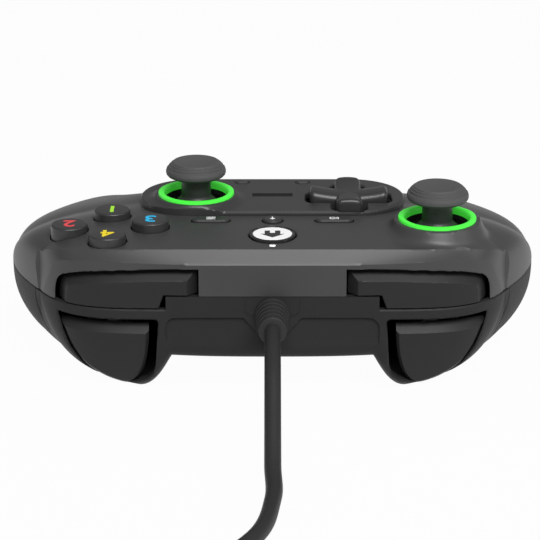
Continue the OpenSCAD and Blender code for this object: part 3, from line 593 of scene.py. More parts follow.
@dataclass(frozen=True)
class Repeat:
    """A row of like units, set on given points by a node tree."""

    name: str
    unit: bpy.types.Mesh
    spots: Sequence[Point3]
    first_scale: float = 1.0
    last_scale: float = 1.0

    @staticmethod
    def tree() -> bpy.types.NodeTree:
        """Finds the tree that sets units on points, or builds it on first use.

        Returns:
            A geometry node group with the inputs Unit, First Scale, Last Scale and Finish.
        """
        found = bpy.data.node_groups.get("units_on_points")
        if found:
            return found
        tree = bpy.data.node_groups.new("units_on_points", "GeometryNodeTree")
        for name, way, kind in (("Geometry", "INPUT", "Geometry"), ("Unit", "INPUT", "Object"),
                                ("First Scale", "INPUT", "Float"), ("Last Scale", "INPUT", "Float"),
                                ("Finish", "INPUT", "Material"), ("Geometry", "OUTPUT", "Geometry")):
            tree.interface.new_socket(name, in_out=way, socket_type=f"NodeSocket{kind}")
        source, sink, last, size = (tree.nodes.new(kind) for kind in (
            "NodeGroupInput", "NodeGroupOutput", "ShaderNodeMath", "ShaderNodeMapRange"))
        count, number, shape, spread, real, dress = (tree.nodes.new(f"GeometryNode{kind}") for kind in (
            "AttributeDomainSize", "InputIndex", "ObjectInfo", "InstanceOnPoints", "RealizeInstances",
            "SetMaterial"))
        last.operation = "SUBTRACT"
        last.inputs[1].default_value = 1.0
        wire(tree, (source, "Geometry", count, "Geometry"), (count, "Point Count", last, 0),
             (number, "Index", size, "Value"), (last, 0, size, "From Max"),
             (source, "First Scale", size, "To Min"), (source, "Last Scale", size, "To Max"),
             (source, "Unit", shape, "Object"), (source, "Geometry", spread, "Points"),
             (shape, "Geometry", spread, "Instance"), (size, "Result", spread, "Scale"),
             (spread, "Instances", real, "Geometry"), (real, "Geometry", dress, "Geometry"),
             (source, "Finish", dress, "Material"), (dress, "Geometry", sink, "Geometry"))
        return tree

    def mesh(self, finish: Finish) -> bpy.types.Mesh:
        """Runs the tree and keeps its result.

        Args:
            finish: The finish that the tree sets.

        Returns:
            One plain mesh with every unit in its place.
        """
        unit = bpy.data.objects.new(self.name + "_unit", self.unit)
        points = make_mesh(self.name + "_spots", self.spots, [])
        row = bpy.data.objects.new(self.name + "_row", points)
        for draft in (unit, row):
            bpy.context.scene.collection.objects.link(draft)
        tree = self.tree()
        nodes = row.modifiers.new("units", "NODES")
        nodes.node_group = tree
        values = {"Unit": unit, "First Scale": self.first_scale, "Last Scale": self.last_scale,
                  "Finish": finish.material()}
        for item in tree.interface.items_tree:
            if item.name in values:
                nodes[item.identifier] = values[item.name]
        made = bpy.data.meshes.new_from_object(row.evaluated_get(bpy.context.evaluated_depsgraph_get()))
        row.modifiers.remove(nodes)
        for draft in (unit, row):
            bpy.data.objects.remove(draft)
        made.name = self.name
        return made


@dataclass(frozen=True)
class BodyForm:
    """Rules of the housing's skin: its plan, its crown, its underside and its shoulders."""

    half_w: float = 76.5
    front_y: float = -52.5
    tip_y: float = 52.5
    wide_y: float = -8.0
    corner_len: float = 28.5
    corner_in: float = 10.5
    corner_x: float = 66.0
    corner_power: float = 1.7
    front_bow: float = 16.0
    front_power: float = 8.0
    grip_x: float = 56.0
    grip_power: float = 2.35
    back_y: float = 9.5
    notch_x: float = 22.0
    face_z: float = 43.6
    lip_drop: float = 0.9
    lip_run: float = 24.0
    grip_drop: float = 8.0
    grip_along: Ease = Ease(-12.5, 60.0)
    grip_aside: Ease = Ease(25.0, 22.0)
    parting_z: float = 26.0
    parting_drop: float = 9.0
    back_round_mid: float = 4.0
    back_round_more: float = 26.0
    back_aside: Ease = Ease(20.0, 25.0)
    back_power: float = 2.2
    front_square: float = 5.9
    square_loss: float = 3.7
    square_along: Ease = Ease(-41.5, 39.0)
    bevel: float = 3.0
    bevel_lean: float = 1.2
    bevel_steeper: float = 2.4
    steep_aside: Ease = Ease(52.0, 12.0)
    bevel_fade: float = 2.4
    fade_aside: Ease = Ease(54.0, 8.0)
    fade_up: Ease = Ease(0.0, 9.0)
    mound_fillet: float = 1.8
    belly_z: float = 10.6
    pod_z: float = -3.0
    pod_x: float = 28.2
    pod_run: float = 10.0
    pod_power: float = 0.6
    under_belly: float = 4.8
    under_pod: float = 14.5
    under_back: float = 20.0
    under_power: float = 2.4
    side_power: float = 2.72
    nose_power: float = 3.0
    heel_power: float = 2.0
    least_scale: float = 6.0

    def side(self, y: Array) -> Array:
        """Half width at a depth.

        Args:
            y: The depth.

        Returns:
            The half width.
        """
        turn = np.clip((self.wide_y - y) / self.corner_len, 0, 1) ** self.corner_power
        back = fall((y - self.wide_y) / (self.tip_y - self.wide_y), self.grip_power)
        return np.where(y < self.wide_y, self.half_w - self.corner_in * turn,
                        self.grip_x + (self.half_w - self.grip_x) * back)

    def corner(self, x: Array) -> Array:
        """Share of the way from the middle to the front corner."""
        return np.minimum(np.abs(x), self.corner_x) / self.corner_x

    def front(self, x: Array) -> Array:
        """Depth of the front edge at a distance from the middle."""
        return self.front_y + self.front_bow * self.corner(x) ** self.front_power

    def front_gap(self, x: Array, y: Array, w: float) -> Array:
        """Distance in front of the front edge, moved in by w."""
        lean = self.front_bow * self.front_power / self.corner_x * self.corner(x) ** (self.front_power - 1)
        return (self.front(x) + w - y) / np.sqrt(1 + lean * lean)

    def back(self, x: Array, w: float) -> Array:
        """Depth of the back edge, moved in by w.

        Args:
            x: Distance from the middle.
            w: How far the edge is moved in.

        Returns:
            The depth.
        """
        a = np.abs(x)
        inner = self.back_y + (self.tip_y - self.back_y) * smooth(
            (np.abs(a - w) - self.notch_x) / (self.grip_x - self.notch_x))
        outer = self.wide_y + (self.tip_y - self.wide_y) * fall(
            (a + w - self.grip_x) / (self.half_w - self.grip_x), self.grip_power)
        return np.minimum(inner - w, outer)

    def part(self, y: Array) -> Array:
        """Height of the parting line."""
        return self.parting_z - self.parting_drop * smooth(y / self.tip_y)

    def crown(self, x: Array, y: Array) -> Array:
        """Height of the face before it rounds off to the sides."""
        lip = self.lip_drop * smooth((self.front_y + self.lip_run - y) / self.lip_run)
        return self.face_z - lip - self.grip_drop * self.grip_along.at(y) * self.grip_aside.at(np.abs(x))

    def back_round(self, x: Array) -> Array:
        """Length of the rounding along the back edge."""
        return self.back_round_mid + self.back_round_more * self.back_aside.at(np.abs(x))

    def shoulder(self, y: Array) -> Array:
        """Power of the cross section: square at the front, round at the grips."""
        return self.front_square - self.square_loss * self.square_along.at(y)

    def top_z(self, x: float, y: float) -> float:
        """Height of the outer skin at a point of the face.

        Args:
            x: Distance from the middle.
            y: Depth of the point.

        Returns:
            The height.
        """
        part, n = self.part(np.array(y)), float(self.shoulder(np.array(y)))
        rise = (self.crown(x, y) - part) * fall(abs(x) / self.side(np.array(y)), n)
        return float(part + rise * fall(1 - (self.back(x, 0.0) - y) / self.back_round(x), self.back_power))

    def upper(self, x: Array, y: Array, z: Array, w: float, mound: Array | None = None) -> Array:
        """Field of the upper half.

        Args:
            x: First coordinate.
            y: Second coordinate.
            z: Third coordinate.
            w: How far the skin is moved in.
            mound: A field that swells out of the face behind the front bevel.

        Returns:
            The field, with its bevelled front edge.
        """
        part, n, wide = self.part(y), self.shoulder(y), self.side(y) - w
        tall = self.crown(x, y) - w - part
        u, r = np.abs(x) / wide, self.back_round(x)
        t = np.maximum(0.0, 1.0 - (self.back(x, w) - y) / r)
        q = np.maximum(0.0, (z - part) / tall)
        left, rear = 1.0 - u**n, 1.0 - t**self.back_power
        rear = np.sign(rear) * np.abs(rear) ** (n / self.back_power)
        room = np.where((left < 0) | (rear < 0), -np.abs(left * rear), left * rear)
        qn, un, tn = q**n, u**n, t**n
        gauge = np.maximum(qn + 1.0 - room, TINY) ** (1.0 / n) - 1.0
        scale = (un * wide + tn * r + qn * tall) / (un + tn + qn + TINY)
        skin, face = gauge * np.maximum(scale, self.least_scale), self.front_gap(x, y, w)
        steep = self.bevel_lean + self.bevel_steeper * self.steep_aside.at(np.abs(x))
        fade = self.bevel_fade * self.fade_aside.at(np.abs(x)) * (1.0 - self.fade_up.at(z - part))
        edge = np.minimum(skin, 0.0) + steep * face + self.bevel_lean * self.bevel - fade
        swollen = skin if mound is None else soft_union(skin, mound, self.mound_fillet)
        return both(swollen, face, edge / np.sqrt(1.0 + steep * steep))

    def lower(self, x: Array, y: Array, z: Array, w: float) -> Array:
        """Field of the lower half, moved in by w, with its pods and flat feet.

        Args:
            x, y, z: Coordinates in millimetres.
            w: How far the skin is moved in.

        Returns:
            The field, negative inside.
        """
        part, wide, k = self.part(y), self.side(y) - w, self.under_power
        pod = smooth(np.clip((np.abs(x) - self.pod_x) / self.pod_run, 0.0, 1.0) ** self.pod_power)
        deep = part - (self.belly_z * (1 - pod) + self.pod_z * pod + w)
        run = self.under_belly + (self.under_pod - self.under_belly) * pod
        u = np.abs(x) / wide
        s = np.maximum(0.0, 1.0 - (y - self.front(x) - w) / run)
        t = np.maximum(0.0, 1.0 - (self.back(x, w) - y) / self.under_back)
        q = np.maximum(0.0, (part - z) / deep)
        room, out = 1.0, False
        for share, power in ((u, self.side_power), (s, self.nose_power), (t, self.heel_power)):
            left = 1.0 - share**power
            out = out | (left < 0)
            room = room * np.abs(left) ** (k / power)
        room = np.where(out, -np.abs(room), room)
        qn, un, sn, tn = q**k, u**k, s**k, t**k
        gauge = np.maximum(qn + 1.0 - room, TINY) ** (1.0 / k) - 1.0
        scale = (un * wide + sn * run + tn * self.under_back + qn * deep) / (un + sn + tn + qn + TINY)
        return both(gauge * np.maximum(scale, self.least_scale), self.front_gap(x, y, w), w - z)


FORM = BodyForm()


@dataclass(frozen=True)
class Layout:
    """Places and levels that the pieces share."""

    ring_top: float = 47.2
    ring_r: float = 11.0
    ring_seat: float = 43.8
    well_r: float = 9.6
    lip_top: float = 46.4
    lip_r: float = 12.1
    lip_edge: float = 0.3
    panel_top: float = 44.8
    panel_bottom: float = 42.8
    panel_y: float = -6.7
    panel_len: float = 77.4
    panel_w: float = 31.6
    left_stick: Point2 = (46.4, -33.5)
    right_stick: Point2 = (-22.2, -10.3)
    dpad: Point2 = (22.2, -9.3)
    buttons: tuple[Point2, ...] = ((-46.0, -21.6), (-57.5, -32.1), (-34.5, -32.1), (-46.0, -42.6))
    button_d: float = 10.4
    button_gap: float = 0.3
    under_panel_r: float = 10.4
    dpad_well_r: float = 13.0
    menu_x: float = 17.6
    menu_y: float = -26.9
    menu_hole: Point2 = (11.4, 4.4)
    share_hole_r: float = 3.1
    home_y: float = -38.3
    home_hole_r: float = 6.8
    light_y: float = -46.4
    light_half: Point2 = (0.9, 0.6)
    set_x: float = 9.0
    set_y: float = 5.5
    set_hole: Point2 = (5.4, 3.4)
    set_slot: Point2 = (4.6, 2.6)
    strip_half: Point2 = (5.9, 1.7)
    strip_deep: float = 0.5
    tab_x: float = 29.6
    tab_top: float = 29.8
    sleeve_z: float = 25.0
    socket_z: float = 20.6
    trigger_top: float = 21.2
    screws: tuple[Point3, ...] = ((0.0, -13.0, 10.6), (11.0, -43.5, 10.9), (-11.0, -43.5, 10.9),
                                  (39.5, 12.0, 0.0), (-39.5, 12.0, 0.0))
    screw_seat: Point2 = (2.7, 1.3)
    screw_bore: Point2 = (1.5, 8.0)


LAYOUT = Layout()


def trigger_edge() -> list[Point2]:
    """Inner, lower and outer edge of a trigger seen from the front."""
    return [(34.4, 21.2), (34.6, 16.0), (35.2, 11.0), (36.4, 6.2), (38.2, 2.7), (40.8, 1.0), (44.4, 1.8),
            (48.5, 3.8), (53.2, 7.3), (56.7, 12.6), (58.7, 17.8), (59.9, 21.2)]


def bumper_edge(inset: float) -> list[Point2]:
    """Upper edge of the bumper opening seen from the front, moved in, inner end to outer end.

    Args:
        inset: How far it is moved in.

    Returns:
        Its points.
    """
    marks = ((20.4, 37.9), (30.0, 37.8), (38.0, 37.6), (45.0, 37.2), (51.8, 36.5), (56.8, 35.1), (59.3, 33.6),
             (60.5, 31.2), (60.9, 28.0))
    turned = lambda x: min(max((x - 54.0) / 6.0, 0.0), 1.0)
    return [(x + inset * (0.7 if x < 21.0 else -0.9 * turned(x)), z - inset * (1.0 - 0.7 * turned(x)))
            for x, z in through(marks, 4).tolist()]


def screw_hole(x: Array, y: Array, z: Array, spot: Point3) -> Array:
    """Field of a screw's stepped hole."""
    r = np.hypot(x - spot[0], y - spot[1])
    steps = (LAYOUT.screw_seat, LAYOUT.screw_bore)
    return either(*(both(r - wide, z - spot[2] - deep) for wide, deep in steps))


@dataclass
class Housing:
    """Top shell, bottom shell and the two grip backs."""

    wall: float = 2.2
    seam: float = 0.35
    rim: float = 0.3
    bumper_rim: float = 0.25
    bumper_back: float = -38.0
    window_rim: float = 0.5
    window_back: float = -34.5
    trigger_gap: float = 0.25
    grip_gap: float = 0.2
    collar_slope: float = 0.5
    collar_foot: float = 39.4
    pocket_gap: float = 0.4
    tab_gap: float = 0.15
    tab_back: float = -49.8
    tab_foot: float = 25.0
    recess: float = 0.9
    recess_up: Ease = Ease(9.0, 8.0)
    recess_back: float = -44.0
    cord_hole_r: float = 2.7
    cord_hole_back: float = -46.5
    socket_r: float = 3.9
    socket_front: float = -2.5

    def grip_plan(self) -> list[Point2]:
        """Outline of a grip back seen from above."""
        return [(81.5, -36.0), (64.0, -33.5), (44.0, -20.5), (32.0, -0.5), (16.0, 12.5), (16.0, 57.5),
                (81.5, 57.5)]

    def window(self) -> list[Point2]:
        """Outline of the opening round a trigger.

        Returns:
            Its points, seen from the front.
        """
        rim = [(31.7, 22.9, 1.2), (32.7, 8.5, 0.0), (33.6, 5.4, 0.0), (35.6, 3.4, 0.0), (39.0, 2.0, 0.0)]
        low = [(x + self.trigger_gap, z - self.trigger_gap, 0.0) for x, z in trigger_edge()[6:-1]]
        return filleted([*rim, *low, (60.3, 22.9, 0.8)], 4)

    def hollow(self) -> list[Point2]:
        """Outline of half of the recess under the front tab."""
        return filleted([(-1.0, 12.0, 0.0), (4.7, 19.6, 0.6), (8.2, 23.7, 1.0), (30.0, 23.7, 4.0),
                         (29.2, 8.0, 2.0), (26.0, -9.0, 0.0), (-1.0, -9.0, 0.0)])

    def openings(self, x: Array, y: Array) -> Array:
        """Everything that passes through the face, seen from above.

        Args:
            x, y: Coordinates in millimetres.

        Returns:
            The field, negative inside.
        """
        at = LAYOUT
        discs = [(spot, at.button_d / 2 + at.button_gap) for spot in at.buttons]
        discs += [(at.left_stick, at.well_r), (at.right_stick, at.under_panel_r), (at.dpad, at.dpad_well_r),
                  ((0.0, at.menu_y), at.share_hole_r), ((0.0, at.home_y), at.home_hole_r)]
        bars = ((at.menu_x, at.menu_y, at.menu_hole), (at.set_x, at.set_y, at.set_hole))
        light = both(np.abs(x) - at.light_half[0], np.abs(y - at.light_y) - at.light_half[1])
        return either(light, *(np.hypot(x - spot[0], y - spot[1]) - r for spot, r in discs),
                      *(pill(np.abs(x) - bx, y - by, *size) for bx, by, size in bars))

    def top(self, x: Array, y: Array, z: Array) -> Array:
        """Field of the top shell.

        Args:
            x, y, z: Coordinates in millimetres.

        Returns:
            The field, negative inside.
        """
        at = LAYOUT
        r = np.hypot(x - at.left_stick[0], y - at.left_stick[1])
        flare = (r - at.lip_r - self.collar_slope * (at.lip_top - z)) / math.hypot(1.0, self.collar_slope)
        lip = chamfer(flare, z - at.lip_top, at.lip_edge)
        skin = FORM.upper(x, y, z, 0.0, both(lip, self.collar_foot - z))
        shell = both(chamfer(skin, FORM.part(y) - z, self.seam), -FORM.upper(x, y, z, self.wall))
        shell = chamfer(shell, -self.openings(x, y), self.rim)
        shell = both(shell, -both(r - at.ring_r, at.ring_seat - z))
        pocket = pill(x, y - at.panel_y, at.panel_len + self.pocket_gap, at.panel_w + self.pocket_gap)
        shell = chamfer(shell, -both(pocket, at.panel_bottom - z), self.rim)
        shoulder = polygon(np.abs(x), z, [(20.4, 20.0), *bumper_edge(0.0), (61.0, 20.0)])
        shell = chamfer(shell, -both(shoulder, y - self.bumper_back), self.bumper_rim)
        tab = both(np.abs(x) - at.tab_x, z - at.tab_top) - self.tab_gap
        return both(shell, -both(tab, y - self.tab_back))

    def lower_wall(self, x: Array, y: Array, z: Array) -> Array:
        """Field of the whole lower half as a shell."""
        skin = chamfer(FORM.lower(x, y, z, 0.0), z - FORM.part(y), self.seam)
        return both(skin, -FORM.lower(x, y, z, self.wall))

    def bottom(self, x: Array, y: Array, z: Array) -> Array:
        """Field of the bottom shell with its front tab.

        Args:
            x, y, z: Coordinates in millimetres.

        Returns:
            The field, negative inside.
        """
        at, aside = LAYOUT, np.abs(x)
        tab = both(FORM.upper(x, y, z, 0.0), -FORM.upper(x, y, z, self.wall), aside - at.tab_x, z - at.tab_top,
                   self.tab_foot - z, y - self.tab_back)
        shell = either(self.lower_wall(x, y, z), tab)
        shell = chamfer(shell, -polygon(aside, y, self.grip_plan()), self.rim)
        shell = chamfer(shell, -both(polygon(aside, z, self.window()), y - self.window_back), self.window_rim)
        floor = -FORM.front_gap(x, y, self.recess * self.recess_up.at(z))
        shell = chamfer(shell, -both(polygon(aside, z, self.hollow()), floor, y - self.recess_back), self.rim)
        cord = both(np.hypot(x, z - at.sleeve_z) - self.cord_hole_r, y - self.cord_hole_back)
        socket = both(np.hypot(x, z - at.socket_z) - self.socket_r, self.socket_front - y)
        return both(shell, -cord, -socket, *(-screw_hole(x, y, z, spot) for spot in at.screws))

    def grip(self, x: Array, y: Array, z: Array) -> Array:
        """Field of the left grip back."""
        shell = chamfer(self.lower_wall(x, y, z), polygon(x, y - self.grip_gap, self.grip_plan()), self.rim)
        return both(shell, -screw_hole(x, y, z, LAYOUT.screws[3]))

    def build(self) -> None:
        """Makes and dresses the four mouldings."""
        top = Contour(self.top, (-76.5, -52.5, 16.17), (76.5, 52.5, 46.9), 0.66)
        place(top.mesh("top_moulding", 19.0), "housing", "shell", SHELL, "top_shell")
        low = Contour(self.bottom, (-70.0, -52.5, 0.0), (70.0, 14.0, 29.8), 0.56)
        # The bottom moulding wears the darker copy of the shell plastic, which is painted shade.
        place(low.mesh("bottom_moulding"), "housing", "lower", LOWER_SHADED, "bottom_shell")
        for side, sign in SIDES:
            back = Contour.on_side(self.grip, sign, (14.0, -37.0, 0.0), (76.5, 52.5, 26.0), 0.62)
            place(back.mesh(f"{side}_grip_back"), "housing", "grip", GRIP, f"{side}_grip")


@dataclass
class CentrePanel:
    """Raised centre panel with its stick collar, the pad's opening and the bare strip."""

    edge: float = 0.6
    flare: float = 2.4
    slot_len: float = 25.1
    slot_w: float = 10.3
    slot_r: float = 2.6
    slot_edge: float = 0.35
    set_edge: float = 0.2
    collar_round: float = 0.5

    def rule(self, x: Array, y: Array, z: Array) -> Array:
        """Field of the panel.

        Args:
            x, y, z: Coordinates in millimetres.

        Returns:
            The field, negative inside.
        """
        at = LAYOUT
        plan = pill(x, y - at.panel_y, at.panel_len, at.panel_w)
        body = chamfer(both(plan, at.panel_bottom - z), z - at.panel_top, self.edge)
        r = np.hypot(x - at.right_stick[0], y - at.right_stick[1])
        drop = np.clip((at.lip_top - z) / (at.lip_top - at.panel_top), 0.0, 1.0)
        collar = rounded(r - at.lip_r - self.flare * drop**2, plan, self.collar_round)
        body = either(body, chamfer(both(collar, at.panel_bottom - z), z - at.lip_top, at.lip_edge))
        body = both(body, -both(r - at.ring_r, at.ring_seat - z), at.well_r - r, at.panel_bottom - z)
        dx, dy = x - at.dpad[0], y - at.dpad[1]
        slot = lambda u, v: rounded(np.abs(u) - self.slot_len / 2, np.abs(v) - self.slot_w / 2, self.slot_r)
        body = chamfer(body, -either(slot(dx, dy), slot(dy, dx)), self.slot_edge)
        body = chamfer(body, -pill(np.abs(x) - at.set_x, y - at.set_y, *at.set_slot), self.set_edge)
        strip = both(np.abs(x) - at.strip_half[0], np.abs(y - at.panel_y) - at.strip_half[1])
        return both(body, -both(strip, at.panel_top - at.strip_deep - z))

    def build(self) -> None:
        """Makes and dresses the panel."""
        at = LAYOUT
        made = Contour(self.rule, (-38.7, -22.5, 42.8), (38.7, 9.1, 46.4), 0.34).mesh("centre_plate")
        place(made, "housing", "panel", PANEL, "centre_panel")
        outline = filleted([(u, v, 0.3) for u, v in rect(-5.7, -1.5, 5.7, 1.5)], 3)
        floor = (0.0, at.panel_y, at.panel_top - at.strip_deep)
        print_mark("bare_strip", [outline], floor, "housing", STRIP, 0.44)


@dataclass
class Stick:
    """One thumb stick: green ring with a painted glow, stepped rubber cap, stem and skirt."""

    side: str
    spot: Point2
    skirt_r: float = 8.8
    skirt_inner: float = 7.6
    stem_r: float = 4.3
    pivot_drop: float = 9.3

    def cap_profile(self) -> list[Point2]:
        """Section of the cap: dished top, three steps down to the widest edge, hollow underside.

        Returns:
            Radius and height of each point.
        """
        dish = [(0.0, 8.3), (2.2, 8.38), (4.2, 8.6), (5.6, 8.84), (6.3, 8.97), (6.6, 8.95)]
        steps: list[Point2] = []
        for k in range(3):
            r, z = 6.7 + 0.6 * k, 8.86 - 0.5 * k - 0.1 * k * k
            steps += [(r, z), (r + 0.1, z - 0.3), (r + 0.5, z - 0.36), (r + 0.6, z - 0.42)]
        rim = [(8.58, 6.75), (8.7, 6.35), (8.7, 5.85), (8.56, 5.35), (8.15, 4.88), (7.5, 4.55), (6.5, 4.32),
               (5.2, 4.22), (4.55, 4.2), (3.3, 4.2), (3.3, 6.9), (0.0, 6.9)]
        return [*dish, *steps, *rim][::-1]

    def stem_profile(self) -> list[Point2]:
        """Section of the stem and its domed skirt, from the pivot.

        Returns:
            Radius and height of each point.
        """
        dome = lambda r, start, end: [(r * math.sin(a), r * math.cos(a))
                                      for a in np.radians(np.linspace(start, end, 14))]
        neck = [(4.75, 7.55), (4.42, 7.95), (self.stem_r, 8.5), (self.stem_r, self.pivot_drop + 4.2),
                (3.15, 13.5), (3.15, 16.1), (0.0, 16.1)]
        return [*dome(self.skirt_inner, 0, 65), *dome(self.skirt_r, 65, 36), *neck]

    def build(self) -> None:
        """Makes and dresses the ring, cap and stem."""
        side, body = self.side, f"{self.side}_stick"
        at, pivot = (*self.spot, LAYOUT.ring_top), (*self.spot, LAYOUT.ring_top - self.pivot_drop)
        hoop = [(8.95, -1.9), (11.0, -1.9), (11.0, -0.3), (10.92, -0.1), (10.72, 0.0), (9.75, 0.0), (9.5, -0.1),
                (9.3, -0.35), (9.1, -0.9)]
        liner = lathe(f"{side}_ring_liner", rect(9.0, -3.4, 11.0, -1.9), at)
        place(liner, "housing", "stem", STEM)
        ring = lathe(f"{side}_glow_ring", hoop, at, 128)
        # The ring's finish carries a painted glow, not a lamp.
        place(ring, "housing", "ring", RING_PAINTED_GLOW, f"{side}_ring")
        cap = lathe(f"{side}_thumb_cap", self.cap_profile(), at, 128, 24.0)
        place(cap, body, "cap", RUBBER, f"{side}_stick_cap")
        stem = lathe(f"{side}_thumb_stem", self.stem_profile(), pivot)
        place(stem, body, "stem", STEM, f"{side}_stick_stem")


@dataclass
class DirectionPad:
    """Dished cross with four rounded arms."""

    span: float = 22.6
    arm: float = 7.8
    arm_r: float = 1.6
    rise: float = 48.3
    dish_r: float = 45.0
    dish_deep: float = 1.6
    crown: float = 0.045
    edge: float = 1.5
    foot: float = 40.4
    stem_r: float = 2.0
    stem_foot: float = 36.8

    def rule(self, x: Array, y: Array, z: Array) -> Array:
        """Field of the pad.

        Args:
            x, y, z: Coordinates in millimetres.

        Returns:
            The field, negative inside.
        """
        dx, dy = x - LAYOUT.dpad[0], y - LAYOUT.dpad[1]
        a, b, far = np.abs(dx), np.abs(dy), np.hypot(dx, dy)
        box = lambda u, v: rounded(u - self.span / 2, v - self.arm / 2, self.arm_r)
        bowl = self.dish_r - np.sqrt(np.maximum(self.dish_r**2 - far * far, 1.0)) - self.dish_deep
        level = self.rise + np.minimum(bowl, 0.0) - self.crown * np.minimum(a, b) ** 2
        top = rounded(either(box(a, b), box(b, a)), (z - level) * 0.97, self.edge)
        stem = both(far - self.stem_r, slab(z, self.stem_foot, self.foot + 0.2))
        skirt = both(far - self.span / 2 + 0.4, slab(z, self.foot, self.foot + 0.7))
        return either(both(top, self.foot - z), skirt, stem)

    def build(self) -> None:
        """Makes and dresses the pad."""
        (x, y), half = LAYOUT.dpad, self.span / 2
        made = Contour(self.rule, (x - half, y - half, self.stem_foot), (x + half, y + half, self.rise), 0.26)
        place(made.mesh("cross_pad", 26.0), "dpad_body", "control", CONTROL, "dpad")


@dataclass
class FaceButtons:
    """Four round buttons with plain coloured numbers."""

    proud: float = 2.4
    tall: float = 6.4
    edge: float = 0.55
    digit_size: float = 7.4
    digit_bold: float = 0.16
    digit_rise: float = 0.04

    def digit(self, number: int, centre: Point3, finish: Finish) -> None:
        """Prints a number on a button, read from the player's side.

        Args:
            number: The number.
            centre: Middle of the button's top.
            finish: Its colour.
        """
        name = f"number_{number}"
        words = bpy.data.curves.new(name, "FONT")
        words.body = str(number)
        words.size = self.digit_size * MM
        words.extrude = self.digit_rise * MM
        words.offset = self.digit_bold * MM
        words.align_x = words.align_y = "CENTER"
        draft = bpy.data.objects.new(name + "_draft", words)
        bpy.context.scene.collection.objects.link(draft)
        mesh = bpy.data.meshes.new_from_object(draft.evaluated_get(bpy.context.evaluated_depsgraph_get()))
        bpy.data.objects.remove(draft)
        mesh.name = name
        corners = np.array([v.co[:] for v in mesh.vertices])
        middle = Vector((corners.min(0) + corners.max(0)) / 2)
        mesh.transform(Matrix.Translation(Vector(centre) * MM) @ Matrix.Rotation(math.pi, 4, "Z")
                       @ Matrix.Translation(-middle))
        place(mesh, f"face_button_{number}_body", "control", finish)

    def build(self) -> None:
        """Makes and dresses the buttons and their numbers."""
        r, edge = LAYOUT.button_d / 2, self.edge
        for number, (spot, finish) in enumerate(zip(LAYOUT.buttons, (GREEN, RED, BLUE, YELLOW)), 1):
            top = FORM.top_z(*spot) + self.proud
            soft = [(r - edge + edge * math.sin(a), top - edge + edge * math.cos(a))
                    for a in np.radians(np.linspace(90, 0, 8))]
            section = [(0.0, top - self.tall), (r, top - self.tall), *soft, (0.0, top)]
            made = lathe(f"round_button_{number}", section, (*spot, 0.0), 96, 50.0)
            place(made, f"face_button_{number}_body", "control", CONTROL, f"face_button_{number}")
            self.digit(number, (*spot, top), finish)


@dataclass
class CentreButtons:
    """Menu, view, share, home and the two small set buttons."""

    proud: float = 0.7
    foot: float = 40.0
    edge: float = 0.45
    menu_size: Point2 = (10.8, 3.8)
    share_size: Point2 = (5.601, 5.6)
    set_size: Point2 = (4.0, 2.0)
    set_proud: float = 0.4
    home_r: float = 6.5
    home_proud: float = 0.2
    disc_r: float = 5.5

    def bar(self, name: str, spot: Point2, top: float, size: Point2, node: str) -> None:
        """Makes one button with round ends and a soft edge.

        Args:
            name: The piece's name.
            spot: Its middle.
            top: Height of its face.
            size: Length and width.
            node: The solid that it stands for.
        """
        (x, y), (length, width) = spot, size
        rule = lambda px, py, pz: both(chamfer(pill(px - x, py - y, length, width), pz - top, self.edge),
                                       self.foot - pz)
        made = Contour(rule, (x - length / 2, y - width / 2, self.foot),
                       (x + length / 2, y + width / 2, top), 0.22)
        place(made.mesh(name, 34.0), f"{node}_body", "control", CONTROL, node)

    def home(self) -> None:
        """Makes the glossy home button with its plain white disc and house."""
        y, r, body = LAYOUT.home_y, self.home_r, "home_button_body"
        top = FORM.top_z(0.0, y) + self.home_proud
        section = [(0.0, self.foot), (r, self.foot), (r, top - 0.4), (r - 0.12, top - 0.12), (r - 0.4, top),
                   (0.0, top)]
        place(lathe("home_disc", section, (0.0, y, 0.0), 96, 40.0), body, "control", GLOSS, "home_button")
        circle = [(self.disc_r * math.cos(a), self.disc_r * math.sin(a))
                  for a in np.linspace(0, 2 * math.pi, 72, endpoint=False)]
        print_mark("home_white", [circle], (0.0, y, top), body, WHITE)
        house = [rect(-2.2, -2.6, -0.7, 0.2), rect(0.7, -2.6, 2.2, 0.2), [(-3.4, 0.2), (3.4, 0.2), (0.0, 3.3)],
                 rect(-0.7, -0.6, 0.7, 0.2)]
        print_mark("home_house", house, (0.0, y, top + 0.05), body, GLOSS, 0.03)

    def marks(self, top: float) -> None:
        """Prints the plain marks of the view, share and menu buttons.

        Args:
            top: Height of the buttons' faces.
        """
        x, y = LAYOUT.menu_x, LAYOUT.menu_y
        window = [rect(-1.3, -0.75, 1.3, -0.5), rect(-1.3, 0.5, 1.3, 0.75), rect(-1.3, -0.5, -1.05, 0.5),
                  rect(1.05, -0.5, 1.3, 0.5)]
        print_mark("view_mark", window, (x, y, top), "view_button_body", WHITE)
        arrow = [rect(-0.2, -1.1, 0.2, 0.3), [(-0.8, 0.3), (0.8, 0.3), (0.0, 1.2)]]
        print_mark("share_mark", arrow, (0.0, y, top), "share_button_body", WHITE)
        stroke = lathe("menu_stroke", rect(0.0, -0.1, 0.16, 0.05), (0.0, 0.0, 0.0), 12)
        stroke.transform(Matrix.Diagonal((8.5, 1.0, 1.0, 1.0)))
        lines = Repeat("menu_mark", stroke, [(-x, y + d, top) for d in (-0.8, 0.0, 0.8)])
        place(lines.mesh(WHITE), "menu_button_body", "control", WHITE)

    def build(self) -> None:
        """Makes and dresses the buttons and their marks."""
        at, top = LAYOUT, FORM.face_z + self.proud
        self.bar("menu_bar", (-at.menu_x, at.menu_y), top, self.menu_size, "menu_button")
        self.bar("view_bar", (at.menu_x, at.menu_y), top, self.menu_size, "view_button")
        self.bar("share_dot", (0.0, at.menu_y), top, self.share_size, "share_button")
        for side, sign in SIDES:
            spot, level = (sign * at.set_x, at.set_y), at.panel_top + self.set_proud
            self.bar(f"{side}_set_bar", spot, level, self.set_size, f"{side}_set_button")
        self.home()
        self.marks(top)


